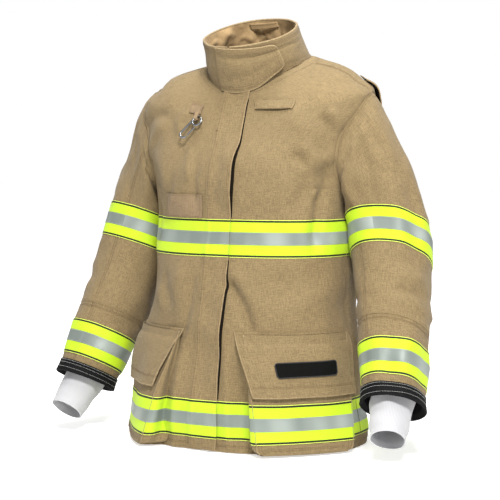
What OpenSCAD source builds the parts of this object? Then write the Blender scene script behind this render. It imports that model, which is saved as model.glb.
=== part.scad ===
// Turnout coat: outer shell, inner layers, raised collar, articulated sleeves, bellows pockets,
// storm flap, zip and fittings. Millimetres, +Z up, front towards -Y, wearer's left towards +X.

/* [Coat body] */
// Nominal level of the neck seam above the hem
neck_h = 785; // [775:1:795]
// Width over the hem
hem_w = 508; // [490:1:516]
// Narrowest width, just under the chest trim
waist_w = 424; // [410:1:430]
// Width at the shoulder tips
shoulder_w = 526; // [520:1:532]
// Width of the neck opening
neck_w = 214; // [204:1:220]
// Depth of the hem in front of its centre line
hem_front = 187; // [180:1:190]
// Depth of the hem behind its centre line
hem_back = 180; // [172:1:184]

/* [Fabric layers] */
// Thickness of the outer shell
shell_t = 1.6; // [1:0.1:1.8]
// Depth of the moisture barrier's face below the shell's face
barrier_in = 4.2; // [4.1:0.1:4.3]
// Thickness of the moisture barrier
barrier_t = 1; // [0.6:0.1:1.2]
// Depth of the thermal liner's face below the shell's face
liner_in = 6.4; // [6:0.1:7]
// Thickness of the thermal liner
liner_t = 2.4; // [1.5:0.1:3]
// Thickness of the trim tape
trim_t = 1; // [0.6:0.1:1.1]

/* [Reflective trim] */
// Width of the triple trim
trim_w = 76; // [70:1:80]
// Lower edge of the hem trim
hem_trim_h = 25; // [20:1:32]
// Lower edge of the chest trim
chest_trim_h = 387; // [380:1:392]

/* [Collar] */
// Half width of the collar's rim
rim_half_w = 97; // [92:1:102]
// Level of the rim at its centre
rim_h = 846; // [836:1:852]
// Fall of the rim towards the front, as a slope
rim_slope = 0.36; // [0.3:0.01:0.4]

/* [Sleeves] */
// Clearance between the sleeve and the armhole edge
armhole_gap = 6; // [5:0.5:7]
// Clearance between the hanging sleeve and the side of the coat
side_gap = 5.5; // [5:0.5:7]
// Radius of the wristlet where it leaves the cuff
wristlet_r = 43; // [40:1:45]
// Radius of the wristlet at the wrist
wrist_r = 35; // [32:1:38]

/* [Closure] */
// Distance of the storm flap's sewn edge from the centre line
flap_sewn_x = 40; // [36:1:44]
// Distance of the storm flap's free edge from the centre line at the hem
flap_free_x = 24; // [20:1:26]
// Level where the storm flap starts to swing
flap_swing_h = 560; // [540:5:565]
// Level of the storm flap's top end
flap_top_h = 776; // [760:1:778]
// Top of the zip above the hem
zip_top = 606; // [590:1:610]

/* [Pockets] */
// Width of the bellows pocket
pocket_w = 203; // [195:1:206]
// Depth from the pocket's mouth to its bottom seam
pocket_h = 229; // [220:1:231]
// Width of the pocket flap
pflap_w = 229; // [220:1:231]
// Height of the pocket flap
pflap_h = 125; // [115:1:130]

/* [Snap hook] */
// Radius of the hook's wire
wire_r = 2.2; // [1.8:0.1:2.6]
// Distance between the centres of the hook's eye and its bend
hook_l = 38; // [34:1:42]

/* [Hidden] */

// The whole model is moved back by this much, so that its box is centred on the origin
box_shift = 14.6;

// Body rings: level, half width, front depth, back depth, centre y
RINGS = [
    [0, hem_w / 2, hem_front, hem_back, 0],
    [120, hem_w / 2 - 7, hem_front - 7, hem_back - 4, 4],
    [300, waist_w / 2 + 4, 162, 158, 13],
    [425, waist_w / 2, 151, 152, 21],
    [560, waist_w / 2 + 14, 149, 148, 27],
    [neck_h - 145, shoulder_w / 2 - 17, 137, 141, 33],
    [neck_h - 85, shoulder_w / 2, 125, 130, 39],
    [neck_h - 55, shoulder_w / 2 - 7, 117, 120, 42],
    [neck_h - 30, neck_w / 2 + 107, 108, 110, 44],
    [neck_h - 13, neck_w / 2 + 53, 101, 103, 45],
    [neck_h, neck_w / 2, 96, 98, 45]
];
body_power = 2.25;
tilt_start = 560;
neck_tilt = 0.24;
neck_dip = 42;

// Armhole: an oval on the side of the body
armhole_h = 622;
armhole_r = 96;
armhole_a = 24;
armhole_low = armhole_h - armhole_r;
armhole_high = armhole_h + armhole_r;
armhole_out = [0.97, 0, -0.241];

// Sleeve stations of the wearer's left arm: x, y, z, sideways radius, front to back radius
SLEEVE = [
    [243, 36, 640, 90, 78],
    [272, 50, 560, 92, 84],
    [293, 58, 442, 86, 82],
    [322, 14, 303, 76, 76],
    [345, -39, 184, 68, 69],
    [361, -75, 106, 62, 64]
];
sleeve_cols = 20;
cap_end = 2;
elbow_from = 2.66;
elbow_to = 3.4;
cuff_from = 4.7;
sleeve_end = 4.97;

// Collar rim
rim_y = 18;
rim_front = 96;
rim_back = 98;
rim_power = 2.1;
collar_t = 2;
collar_cols = 36;

// Zip line: straight, from the hem to the top, leaning back
zip_low = 20;
zip_y0 = -182;
zip_lean = 0.134;
zip_angle = atan(zip_lean);
zip_pitch = 6;

// Pocket frame of the wearer's left pocket
pocket_u = 47.5;
pocket_turn = 46;
pocket_low = 5;
pocket_t = 1.6;
pocket_out_low = 17;
pocket_out_high = 8;
pocket_crown = 8;
pocket_bulge = 4;
pocket_off = 1.8;
pflap_t = 3;
pflap_top = 240;

// Throat tab and storm flap
tab_from = -16;
tab_to = 50;
flap_off = 2.6;
flap_t = 2.6;
front_edge = 9;
trim_edge = 27;

// ---- arithmetic
function lerp(a, b, t) = a + (b - a) * t;
function unit(v) = v / norm(v);
function clamp01(x) = min(max(x, 0), 1);
function ease(x) = let (c = clamp01(x)) c * c * (3 - 2 * c);
function bow(v, e) = sign(v) * pow(abs(v), e);
function steps(a, b, n) = [for (i = [0:n]) lerp(a, b, i / n)];

// ---- body surface: u is the angle from the front centre towards the wearer's left, h the level
function ring_slope(c, i, last = len(RINGS) - 1) =
    i == 0 ? (RINGS[1][c] - RINGS[0][c]) / (RINGS[1][0] - RINGS[0][0])
    : i == last ? (RINGS[last][c] - RINGS[last - 1][c]) / (RINGS[last][0] - RINGS[last - 1][0])
    : let (a = RINGS[i][0] - RINGS[i - 1][0], b = RINGS[i + 1][0] - RINGS[i][0])
        (a * a * RINGS[i + 1][c] + (b * b - a * a) * RINGS[i][c] - b * b * RINGS[i - 1][c])
        / (a * b * (a + b));
function ring_span(h, i = 0) = i >= len(RINGS) - 2 || h < RINGS[i + 1][0] ? i : ring_span(h, i + 1);
function ring(h, c) =
    let (i = ring_span(h), d = RINGS[i + 1][0] - RINGS[i][0], s = clamp01((h - RINGS[i][0]) / d),
        s2 = s * s, s3 = s2 * s)
    (2 * s3 - 3 * s2 + 1) * RINGS[i][c] + (s3 - 2 * s2 + s) * d * ring_slope(c, i)
    + (3 * s2 - 2 * s3) * RINGS[i + 1][c] + (s3 - s2) * d * ring_slope(c, i + 1);
function body(u, h) =
    let (yc = ring(h, 4), depth = cos(u) > 0 ? ring(h, 2) : ring(h, 3),
        y = yc - depth * bow(cos(u), 2 / body_power),
        k = ease((h - tilt_start) / (neck_h - tilt_start)))
    [ring(h, 1) * bow(sin(u), 2 / body_power), y + box_shift,
        h + neck_tilt * k * (y - yc) - neck_dip * k * pow(max(cos(u), 0), 3)];
function body_out(u, h) =
    unit(cross(body(u + 0.6, h) - body(u - 0.6, h), body(u, min(h + 1, neck_h)) - body(u, max(h - 1, 0))));
// A place off the surface; nothing goes below the hem
function body_at(u, h, off) = let (p = body(u, h) + off * body_out(u, h)) [p[0], p[1], max(p[2], 0)];
function u_at(x, h) = asin(bow(clamp01(abs(x) / ring(h, 1)) * sign(x), body_power / 2));

// Angle of the side edge: the side seam, or the armhole's front edge
function side_u(h) =
    h <= armhole_low || h >= armhole_high ? 90
    : 90 - armhole_a * sqrt(1 - pow((h - armhole_h) / armhole_r, 2));

// Side of the body at a place beside the arm
function side_x(y, z) =
    let (h = min(z, armhole_h), d = y - box_shift - ring(h, 4),
        depth = d < 0 ? ring(h, 2) : ring(h, 3), e = max(abs(d) - 45, 0) / depth)
    ring(h, 1) * pow(max(1 - pow(e, body_power), 0), 1 / body_power);

// ---- sleeve surface: p is the angle round the arm from its front, t the place along it
function station(i) = SLEEVE[max(0, min(i, len(SLEEVE) - 1))];
function along(t) =
    let (i = min(floor(t), len(SLEEVE) - 2), f = t - i,
        a = station(i - 1), b = station(i), c = station(i + 1), d = station(i + 2))
    0.5 * (2 * b + (c - a) * f + (2 * a - 5 * b + 4 * c - d) * f * f
        + (3 * b - a - 3 * c + d) * f * f * f);
function place(q) = [q[0], q[1] + box_shift, q[2]];
function arm_axis(t) = unit(place(along(min(t + 0.01, 5))) - place(along(max(t - 0.01, 0))));
function armhole(p) = body(90 - armhole_a * cos(p), armhole_h + armhole_r * sin(p));
function arm_ring(p, t) =
    let (q = along(t), a = arm_axis(t), side = unit([1, 0, 0] - a[0] * a), front = cross(a, side))
    place(q) + q[3] * sin(p) * side + q[4] * cos(p) * front;
// Sleeve head: a smooth curve from the armhole to the ring at cap_end, fuller towards the shoulder
function sleeve_head(p, s) =
    let (a = armhole(p) + armhole_gap * armhole_out, b = arm_ring(p, cap_end), reach = norm(b - a),
        from = reach * unit(arm_axis(cap_end) + (0.45 + 0.4 * sin(p)) * armhole_out),
        to = reach * arm_axis(cap_end), s2 = s * s, s3 = s2 * s)
    (2 * s3 - 3 * s2 + 1) * a + (s3 - 2 * s2 + s) * from + (3 * s2 - 2 * s3) * b + (s3 - s2) * to;
function free_sleeve(p, t) = t < cap_end ? sleeve_head(p, t / cap_end) : arm_ring(p, t);
function arm_centre(t) = (free_sleeve(90, t) + free_sleeve(270, t)) / 2;
function sleeve(p, t) =
    let (s = free_sleeve(p, t)) [max(s[0], side_x(s[1], s[2]) + side_gap), s[1], s[2]];
function sleeve_at(p, t, off) = let (s = sleeve(p, t)) s + off * unit(s - arm_centre(t));

// ---- collar surface: v runs from the neck seam to the rim
function rim(u) =
    let (y = rim_y - (cos(u) > 0 ? rim_front : rim_back) * bow(cos(u), 2 / rim_power))
    [rim_half_w * bow(sin(u), 2 / rim_power), y + box_shift, rim_h + rim_slope * (y - rim_y)];
function collar(u, v) = lerp(body(u, neck_h), rim(u), v);
function collar_at(u, v, off) =
    collar(u, v) + off * unit(cross(collar(u + 0.6, v) - collar(u - 0.6, v), rim(u) - body(u, neck_h)));

// ---- pocket frame: along the width, out of the front, and up
pocket_along = [cos(pocket_turn), sin(pocket_turn), 0];
pocket_out = [sin(pocket_turn), -cos(pocket_turn), 0];
pocket_high = pocket_low + pocket_h;
function pocket_mid(z) = [body(pocket_u, z)[0], body(pocket_u, z)[1], z];
// Angle on the body where the width coordinate reaches s, found by halving
function root_u(s, z, lo, hi, n = 12) =
    n == 0 ? (lo + hi) / 2
    : let (m = (lo + hi) / 2, d = (body(m, z) - pocket_mid(z)) * pocket_along)
        d < s ? root_u(s, z, m, hi, n - 1) : root_u(s, z, lo, m, n - 1);
function pocket_root(s, z, off = pocket_off) = body_at(root_u(s, z, 5, 110), z, off);
// The front follows the body at the mouth and stands straight across it at the bottom
function pocket_face(s, z, off) =
    let (low = pocket_mid(pocket_low) + pocket_out_low * pocket_out + s * pocket_along,
        high = pocket_root(s, pocket_high, pocket_out_high),
        k = (z - pocket_low) / pocket_h, bulge = pocket_bulge * sin(180 * clamp01(k)))
    lerp(low, high, k)
        + (off + bulge - pocket_crown * pow(2 * s / pocket_w, 2) * (1 - clamp01(k))) * pocket_out;

// ---- solids between two grids of points; rows run upwards, columns to the wearer's left
module between(outer, inner, wrap = false) {
    rows = len(outer);
    cols = len(outer[0]);
    last = wrap ? cols - 1 : cols - 2;
    n = rows * cols;
    function at(r, c, side) = side * n + r * cols + (c % cols);
    // A quad as two triangles, split from a to c
    function halves(a, b, c, d) = [[a, b, c], [a, c, d]];
    skin = [for (r = [0:rows - 2], c = [0:last]) each concat(
        halves(at(r, c, 0), at(r + 1, c, 0), at(r + 1, c + 1, 0), at(r, c + 1, 0)),
        halves(at(r, c, 1), at(r, c + 1, 1), at(r + 1, c + 1, 1), at(r + 1, c, 1)))];
    ends = [for (c = [0:last]) each concat(
        halves(at(0, c, 0), at(0, c + 1, 0), at(0, c + 1, 1), at(0, c, 1)),
        halves(at(rows - 1, c + 1, 0), at(rows - 1, c, 0), at(rows - 1, c, 1), at(rows - 1, c + 1, 1)))];
    sides = wrap ? [] : [for (r = [0:rows - 2]) each concat(
        halves(at(r + 1, 0, 0), at(r, 0, 0), at(r, 0, 1), at(r + 1, 0, 1)),
        halves(at(r, cols - 1, 0), at(r + 1, cols - 1, 0), at(r + 1, cols - 1, 1), at(r, cols - 1, 1)))];
    polyhedron(points = concat([for (r = outer) each r], [for (r = inner) each r]),
        faces = concat(skin, ends, sides), convexity = 8);
}

// Levels of the trim's edges, shared by the shell, the storm flap and the trim, so that they lie flat
hem_trim_levels = [hem_trim_h, hem_trim_h + trim_w];
chest_trim_levels = [chest_trim_h, chest_trim_h + trim_w];
trunk_levels = concat(hem_trim_levels, [196, 292], chest_trim_levels);

// Levels of a body panel, closer together round the armhole and over the shoulder
armhole_rows = 8;
function levels(top) = concat([0], trunk_levels,
    [for (i = [0:armhole_rows]) armhole_h - armhole_r * cos(180 * i / armhole_rows)],
    steps(armhole_high + 14, top, 5));
function front_us(edges, n, h) =
    let (from = u_at(edges[len(edges) - 1], h))
    concat([for (x = edges) u_at(x, h)], [for (i = [1:n]) lerp(from, side_u(h) - 0.15, i / n)]);
function back_us(n, h) =
    [for (i = [0:2 * n]) lerp(180 - side_u(h) + 0.15, 180 + side_u(h) - 0.15, i / (2 * n))];
function skin_rows(us, hs, off) = [for (i = [0:len(hs) - 1]) [for (u = us[i]) body_at(u, hs[i], off)]];
module body_panel(us, hs, off, thick) {
    between(skin_rows(us, hs, off), skin_rows(us, hs, off - thick));
}
module front_panel(edges, n, hs, off, thick) {
    body_panel([for (h = hs) front_us(edges, n, h)], hs, off, thick);
}
module back_panel(n, hs, off, thick) { body_panel([for (h = hs) back_us(n, h)], hs, off, thick); }
module both_sides() {
    children();
    mirror([1, 0, 0]) children();
}

shell_cols = 7;
inner_cols = 5;
shell_levels = levels(neck_h - 2);
inner_levels = [for (h = levels(neck_h - 8)) max(h, 18)];
inner_edge = 30;

// ---- outer shell and inner layers
module left_front_shell() {
    color("#a8885c") front_panel([front_edge, trim_edge], shell_cols, shell_levels, 0, shell_t);
}
module right_front_shell() {
    color("#a8885c") mirror([1, 0, 0])
        front_panel([front_edge, trim_edge], shell_cols, shell_levels, 0, shell_t);
}
module back_shell() { color("#a8885c") back_panel(shell_cols, shell_levels, 0, shell_t); }
module inner_layer(depth, thick) {
    both_sides() front_panel([inner_edge], inner_cols, inner_levels, -depth, thick);
    back_panel(inner_cols, inner_levels, -depth, thick);
}
module moisture_barrier() { color("#d8d4c8") inner_layer(barrier_in, barrier_t); }
module thermal_liner() { color("#b59a72") inner_layer(liner_in, liner_t); }

// ---- collar
function collar_us(from, to) = steps(from, to, collar_cols);
module collar_layer(off, thick, low, high) {
    us = collar_us(1.5, 358.5);
    vs = steps(low, high, 3);
    between([for (v = vs) [for (u = us) collar_at(u, v, off)]],
        [for (v = vs) [for (u = us) collar_at(u, v, off - thick)]]);
}
module collar_shell() { color("#a8885c") collar_layer(0, collar_t, 0.03, 1); }
module collar_lining() { color("#9c7f56") collar_layer(-collar_t - 0.5, collar_t, 0.06, 0.97); }
// A strap sewn down at both ends, standing off in the middle
loop_rise = 14;
module hanger_loop() {
    n = 8;
    us = steps(172, 208, n);
    function rise(i) = 2 * collar_t + 1 + loop_rise * pow(sin(180 * i / n), 0.6);
    color("#a8885c") between([for (v = [0.8, 0.92]) [for (i = [0:n]) collar_at(us[i], v, -rise(i))]],
        [for (v = [0.8, 0.92]) [for (i = [0:n]) collar_at(us[i], v, -rise(i) - 2)]]);
}

// ---- trim on the body
module front_trim(hs) {
    body_panel([for (h = hs) [for (u = front_us([front_edge, trim_edge], shell_cols, h))
        if (u > u_at(trim_edge, h) - 0.01) u]], hs, 0.3 + trim_t, trim_t);
}
module chest_trim_left() { color("#d8f01c") front_trim(chest_trim_levels); }
module chest_trim_right() { color("#d8f01c") mirror([1, 0, 0]) front_trim(chest_trim_levels); }
module chest_trim_back() {
    color("#d8f01c") back_panel(shell_cols, chest_trim_levels, 0.3 + trim_t, trim_t);
}
module hem_trim_left() { color("#d8f01c") front_trim(hem_trim_levels); }
module hem_trim_right() { color("#d8f01c") mirror([1, 0, 0]) front_trim(hem_trim_levels); }
module hem_trim_back() { color("#d8f01c") back_panel(shell_cols, hem_trim_levels, 0.3 + trim_t, trim_t); }

// ---- storm flap: sewn on the wearer's right front, lying over the left one
function flap_edge(h) = flap_free_x + 10 * ease((h - 540) / 120) - 4 * ease((h - 700) / 60);
function flap_row(h, off, from = -flap_sewn_x, inset = 0) =
    [for (x = steps(from, flap_edge(h) - inset, 4)) body_at(u_at(x, h), h, off)];
module flap_part(hs, off, thick, from = -flap_sewn_x, inset = 0) {
    between([for (h = hs) flap_row(h, off, from, inset)],
        [for (h = hs) flap_row(h, off - thick, from, inset)]);
}
flap_face = flap_off + flap_t;
flap_levels = concat([2], trunk_levels, [510, flap_swing_h]);
module storm_flap() { color("#a8885c") flap_part(flap_levels, flap_face, flap_t); }
module storm_flap_top() {
    color("#a8885c") flap_part(steps(flap_swing_h + 1, flap_top_h, 8), flap_face, flap_t);
}
module flap_trim(hs) {
    flap_part(hs, flap_face + 0.5 + trim_t, trim_t, -flap_sewn_x + 1, 0.5);
}
module flap_chest_trim() { color("#d8f01c") flap_trim(chest_trim_levels); }
module flap_hem_trim() { color("#d8f01c") flap_trim(hem_trim_levels); }
module tape_strip(off, thick) {
    hs = steps(110, 380, 4);
    between([for (h = hs) [for (x = [12, 21]) body_at(u_at(x, h), h, off)]],
        [for (h = hs) [for (x = [12, 21]) body_at(u_at(x, h), h, off - thick)]]);
}
module flap_hook_tape() { color("#3a342c") tape_strip(2.1, 0.7); }
module flap_loop_tape() { color("#3a342c") tape_strip(1.1, 0.7); }

// ---- throat tab: sewn at the wearer's right of the collar, closing over its left
module throat_tab() {
    us = steps(tab_from, tab_to, 9);
    color("#a8885c") between(
        [for (v = steps(0.04, 0.62, 3)) [for (u = us) collar_at(u, v, flap_off + flap_t)]],
        [for (v = steps(0.04, 0.62, 3)) [for (u = us) collar_at(u, v, flap_off)]]);
}

// ---- zip
module on_zip(z) {
    translate([0, zip_y0 + zip_lean * z + box_shift, z]) rotate([-zip_angle, 0, 0]) children();
}
zip_l = (zip_top - zip_low) / cos(zip_angle);
module zip_tapes() {
    color("#2b2b2b") both_sides() on_zip(zip_low) translate([3.4, -0.5, 0]) cube([13, 1, zip_l]);
}
module teeth() {
    on_zip(zip_low) for (i = [0:floor(zip_l / zip_pitch) - 1])
        translate([0.9, -1.2, 1 + i * zip_pitch]) cube([2.4, 2.4, 3.4]);
}
module zip_teeth_left() { color("#c9a24b") teeth(); }
module zip_teeth_right() { color("#c9a24b") mirror([1, 0, 0]) teeth(); }
module zip_slider() {
    color("#c9a24b") on_zip(zip_top) {
        translate([-5, -3.2, -16]) cube([10, 1.4, 14]);
        translate([-5, 1.8, -16]) cube([10, 1.4, 14]);
        translate([-0.5, -2.4, -12]) cube([1, 4.8, 8]);
        translate([-2.2, -4.8, -40]) cube([4.4, 1.4, 34]);
        translate([-1.4, -4.8, -10]) cube([2.8, 2, 5]);
    }
}

// ---- flat trim pieces sewn on the fronts
module on_body(u, h, off, turn = 0) {
    p = body_at(u, h, off);
    n = body_out(u, h);
    translate(p) rotate([0, 0, atan2(n[0], -n[1])]) rotate([-asin(n[2]), 0, 0])
        rotate([0, turn, 0]) children();
}
// A sewn patch that follows the body between two angles and two levels
module patch(u0, u1, h0, h1, off, thick) {
    hs = steps(h0, h1, 2);
    between([for (h = hs) [for (u = steps(u0, u1, 4)) body_at(u, h, off + thick)]],
        [for (h = hs) [for (u = steps(u0, u1, 4)) body_at(u, h, off)]]);
}
module mic_tab() { color("#a8885c") patch(10, 31, 744, 764, 1, 2); }
module chest_patch() { color("#ad8a66") patch(-37, -9.5, 468, 513, 1.2, 1.6); }

// ---- snap hook hanging from its strap on the wearer's right chest
hook_u = -14;
hook_level = 706;
hook_turn = 36;
hook_off = 9;
eye_r = 8;
bend_r = 8.5;
module hook_strap() {
    color("#ad8a66") {
        patch(-23, -11, 728, 748, 1, 1.6);
        patch(-15.5, -10.5, 709, 727, 1, 1.6);
        on_body(hook_u, hook_level, hook_off, hook_turn) translate([0, 0, 5]) rotate([0, 90, 0])
            cylinder(r = 2, h = 7, center = true);
    }
}
module on_hook() { on_body(hook_u, hook_level, hook_off, hook_turn) children(); }
module bent_wire(r, from, sweep) {
    rotate([90, 0, 0]) rotate([0, 0, from]) rotate_extrude(angle = sweep, $fn = 48)
        translate([r, 0]) circle(r = wire_r, $fn = 24);
}
gate_l = hook_l - 15;
module snap_hook() {
    color("#b9bcc0") on_hook() {
        bent_wire(eye_r + wire_r, 100, 340);
        translate([-eye_r - wire_r + 1, 0, -hook_l]) cylinder(r = wire_r, h = hook_l + 0.5, $fn = 24);
        translate([bend_r - eye_r - wire_r + 1, 0, -hook_l]) bent_wire(bend_r, 180, 180);
        translate([-eye_r - wire_r + 1, 0, -4]) sphere(r = wire_r + 1.2, $fn = 32);
    }
}
module hook_gate() {
    color("#9aa0a6") on_hook() translate([2 * bend_r - eye_r - wire_r + 1, 0, -hook_l + 2])
        cylinder(r = wire_r * 0.8, h = gate_l, $fn = 24);
}

// ---- folds of the action back behind each shoulder
module back_pleat() {
    hs = steps(640, 738, 5);
    us = steps(112, 124, 4);
    function rise(i, j) = 2.6 + 9 * sin(180 * i / 4) * sin(90 * (j + 0.4) / 5.4);
    between([for (j = [0:5]) [for (i = [0:4]) body_at(us[i], hs[j], rise(i, j))]],
        [for (j = [0:5]) [for (i = [0:4]) body_at(us[i], hs[j], 1.8)]]);
}
module left_back_pleat() { color("#a8885c") back_pleat(); }
module right_back_pleat() { color("#a8885c") mirror([1, 0, 0]) back_pleat(); }

// ---- bellows pockets: gusset, front and bottom in one wall
pocket_cols = 8;
function pocket_row(z, in) =
    let (w = pocket_w / 2 - in)
    concat([pocket_root(-w, z)], [for (s = steps(-w, w, pocket_cols)) pocket_face(s, z, -in)],
        [pocket_root(w, z)]);
function pocket_floor(z, in) =
    let (w = pocket_w / 2 - in, n = pocket_cols)
    [for (i = [0:n + 2]) pocket_root(lerp(-w, w, clamp01((i - 1) / n)), z)];
module pocket() {
    between(concat([pocket_floor(pocket_low, 0)],
            [for (z = steps(pocket_low, pocket_high, 4)) pocket_row(z, 0)]),
        concat([pocket_floor(pocket_low + pocket_t, pocket_t)],
            [for (z = steps(pocket_low + pocket_t, pocket_high, 4)) pocket_row(z, pocket_t)]));
}
module pocket_trim() {
    pocket_sheet(-pocket_w / 2, pocket_w / 2, hem_trim_h, hem_trim_h + trim_w, 1, trim_t);
}
// A sheet over the pocket's front between two width coordinates and two levels
module pocket_sheet(s0, s1, z0, z1, off, thick) {
    zs = steps(z0, z1, 3);
    between([for (z = zs) [for (s = steps(s0, s1, pocket_cols)) pocket_face(s, z, off + thick)]],
        [for (z = zs) [for (s = steps(s0, s1, pocket_cols)) pocket_face(s, z, off)]]);
}
flap_shift = -3;
module pocket_flap() {
    pocket_sheet(flap_shift - pflap_w / 2, flap_shift + pflap_w / 2,
        pflap_top - pflap_h, pflap_top, 3.4, pflap_t);
}
label_w = 128;
label_h = 32;
label_top = 186;
module left_pocket() { color("#a8885c") pocket(); }
module right_pocket() { color("#a8885c") mirror([1, 0, 0]) pocket(); }
module left_pocket_trim() { color("#d8f01c") pocket_trim(); }
module right_pocket_trim() { color("#d8f01c") mirror([1, 0, 0]) pocket_trim(); }
module left_pocket_flap() { color("#a8885c") pocket_flap(); }
module right_pocket_flap() { color("#a8885c") mirror([1, 0, 0]) pocket_flap(); }
module label_patch() {
    color("#1c1c1c") pocket_sheet(6 - label_w / 2, 6 + label_w / 2, label_top - label_h, label_top,
        3.8 + pflap_t, 1.2);
}

// ---- sleeves, as tubes along the arm of the wearer's left
module tube(from, to, n, off, thick) {
    ts = steps(to, from, n);
    ps = [for (i = [0:sleeve_cols - 1]) i * 360 / sleeve_cols];
    between([for (t = ts) [for (p = ps) sleeve_at(p, t, off)]],
        [for (t = ts) [for (p = ps) sleeve_at(p, t, off - thick)]], wrap = true);
}
module side(right) {
    if (right) mirror([1, 0, 0]) children();
    else children();
}
arm_trim_off = 0.9;
upper_trim_t = [1.86, 2.42];
forearm_trim_t = [3.72, 4.33];
module upper_sleeve(right) { color("#a8885c") side(right) tube(0, elbow_from - 0.01, 10, 0, shell_t); }
module elbow(right) { color("#a8885c") side(right) tube(elbow_from, elbow_to - 0.01, 3, 0, shell_t); }
module forearm(right) { color("#a8885c") side(right) tube(elbow_to, sleeve_end, 5, 0, shell_t); }
module sleeve_lining(right) {
    color("#b59a72") side(right) tube(0.12, elbow_from - 0.12, 7, -liner_in, liner_t);
}
module arm_trim(right, ts) {
    color("#d8f01c") side(right) tube(ts[0], ts[1], 2, arm_trim_off + trim_t, trim_t);
}
module cuff(right) { color("#1d1d1f") side(right) tube(cuff_from, 5, 1, 2, 1.6); }
module cuff_lining(right) {
    color("#1d1d1f") side(right) tube(elbow_to + 0.25, sleeve_end, 3, -shell_t - 2, 1.6);
}

// Knitted wristlet: a plain tapering tube out of the cuff
wrist_from = [356, -63, 132];
wrist_mid = [360, -82, 106];
wrist_to = [374, -133, 46];
module wristlet(right) {
    c = [wrist_to, wrist_mid, wrist_from];
    r = [wrist_r, wristlet_r, wristlet_r + 3];
    a = unit(wrist_from - wrist_to);
    lat = unit([1, 0, 0] - a[0] * a);
    front = cross(a, lat);
    function wall(k, p, in) = place(c[k]) + (r[k] - in) * (cos(p) * -front + sin(p) * lat);
    ps = [for (i = [0:17]) i * 20];
    color("#eceeee") side(right) between([for (k = [0:2]) [for (p = ps) wall(k, p, 0)]],
        [for (k = [0:2]) [for (p = ps) wall(k, p, 2)]], wrap = true);
}

left_front_shell();
right_front_shell();
back_shell();
moisture_barrier();
thermal_liner();
collar_shell();
collar_lining();
hanger_loop();
chest_trim_left();
chest_trim_right();
chest_trim_back();
hem_trim_left();
hem_trim_right();
hem_trim_back();
storm_flap();
flap_chest_trim();
flap_hem_trim();
flap_hook_tape();
flap_loop_tape();
storm_flap_top();
throat_tab();
zip_tapes();
zip_teeth_left();
zip_teeth_right();
zip_slider();
mic_tab();
chest_patch();
hook_strap();
snap_hook();
hook_gate();
left_back_pleat();
right_back_pleat();
left_pocket();
right_pocket();
left_pocket_trim();
right_pocket_trim();
left_pocket_flap();
right_pocket_flap();
label_patch();
upper_sleeve(false);  // left_upper_sleeve
upper_sleeve(true);  // right_upper_sleeve
sleeve_lining(false);  // left_sleeve_lining
sleeve_lining(true);  // right_sleeve_lining
arm_trim(false, upper_trim_t);  // left_upper_trim
arm_trim(true, upper_trim_t);  // right_upper_trim
elbow(false);  // left_elbow
elbow(true);  // right_elbow
forearm(false);  // left_forearm
forearm(true);  // right_forearm
arm_trim(false, forearm_trim_t);  // left_forearm_trim
arm_trim(true, forearm_trim_t);  // right_forearm_trim
cuff(false);  // left_cuff
cuff(true);  // right_cuff
cuff_lining(false);  // left_cuff_lining
cuff_lining(true);  // right_cuff_lining
wristlet(false);  // left_wristlet
wristlet(true);  // right_wristlet
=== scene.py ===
"""Looks of the turnout coat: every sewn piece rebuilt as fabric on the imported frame.

Lengths are millimetres in the helper functions and metres in Blender; one factor, MM, joins the two.
Angle u runs round the body from the front centre towards the wearer's left and h is the level above
the hem; psi runs round an arm from its front and t along it; side is 1 for the wearer's left, -1 right.
"""

import math

import bmesh
import bpy
import numpy as np
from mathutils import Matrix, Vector


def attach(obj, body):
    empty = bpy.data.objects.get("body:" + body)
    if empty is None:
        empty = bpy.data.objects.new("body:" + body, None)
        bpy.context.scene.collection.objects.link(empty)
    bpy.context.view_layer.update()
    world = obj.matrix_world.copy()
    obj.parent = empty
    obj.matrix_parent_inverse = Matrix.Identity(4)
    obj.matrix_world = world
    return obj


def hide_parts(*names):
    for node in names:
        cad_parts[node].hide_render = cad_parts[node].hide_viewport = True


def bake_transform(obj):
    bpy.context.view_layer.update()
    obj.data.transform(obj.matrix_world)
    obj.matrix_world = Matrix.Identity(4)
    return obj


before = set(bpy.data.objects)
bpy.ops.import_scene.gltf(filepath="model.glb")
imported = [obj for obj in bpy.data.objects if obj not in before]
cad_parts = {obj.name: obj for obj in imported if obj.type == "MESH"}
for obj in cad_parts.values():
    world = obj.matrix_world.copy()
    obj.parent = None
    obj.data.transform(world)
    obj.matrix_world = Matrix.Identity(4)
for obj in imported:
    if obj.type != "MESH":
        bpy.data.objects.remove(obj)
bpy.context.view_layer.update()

MM = 0.001
TINY = 1e-12
LEFT, RIGHT = 1, -1
SIDE_NAME = {LEFT: "left", RIGHT: "right"}

# ---------------------------------------------------------------- the coat's own surfaces

SHIFT_Y = 14.6
NECK_H = 785.0
BODY_POWER = 2.25
TILT_START = 560.0
NECK_TILT = 0.24
NECK_DIP = 42.0
# Body rings: level, half width, front depth, back depth, centre y
RINGS = np.array([
    [0, 254, 187, 180, 0], [120, 247, 180, 176, 4], [300, 216, 162, 158, 13], [425, 212, 151, 152, 21],
    [560, 226, 149, 148, 27], [640, 246, 137, 141, 33], [700, 263, 125, 130, 39], [730, 256, 117, 120, 42],
    [755, 214, 108, 110, 44], [772, 160, 101, 103, 45], [785, 107, 96, 98, 45],
], float)
ARMHOLE_H, ARMHOLE_R, ARMHOLE_A = 622.0, 96.0, 24.0
ARM_OUT = np.array([0.97, 0, -0.241])
# Stations down the arm: x, y, z, sideways radius, front to back radius
ARM = np.array([
    [243, 36, 640, 90, 78], [272, 50, 560, 92, 84], [293, 58, 442, 86, 82],
    [322, 14, 303, 76, 76], [345, -39, 184, 68, 69], [361, -75, 106, 62, 64],
], float)
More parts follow.
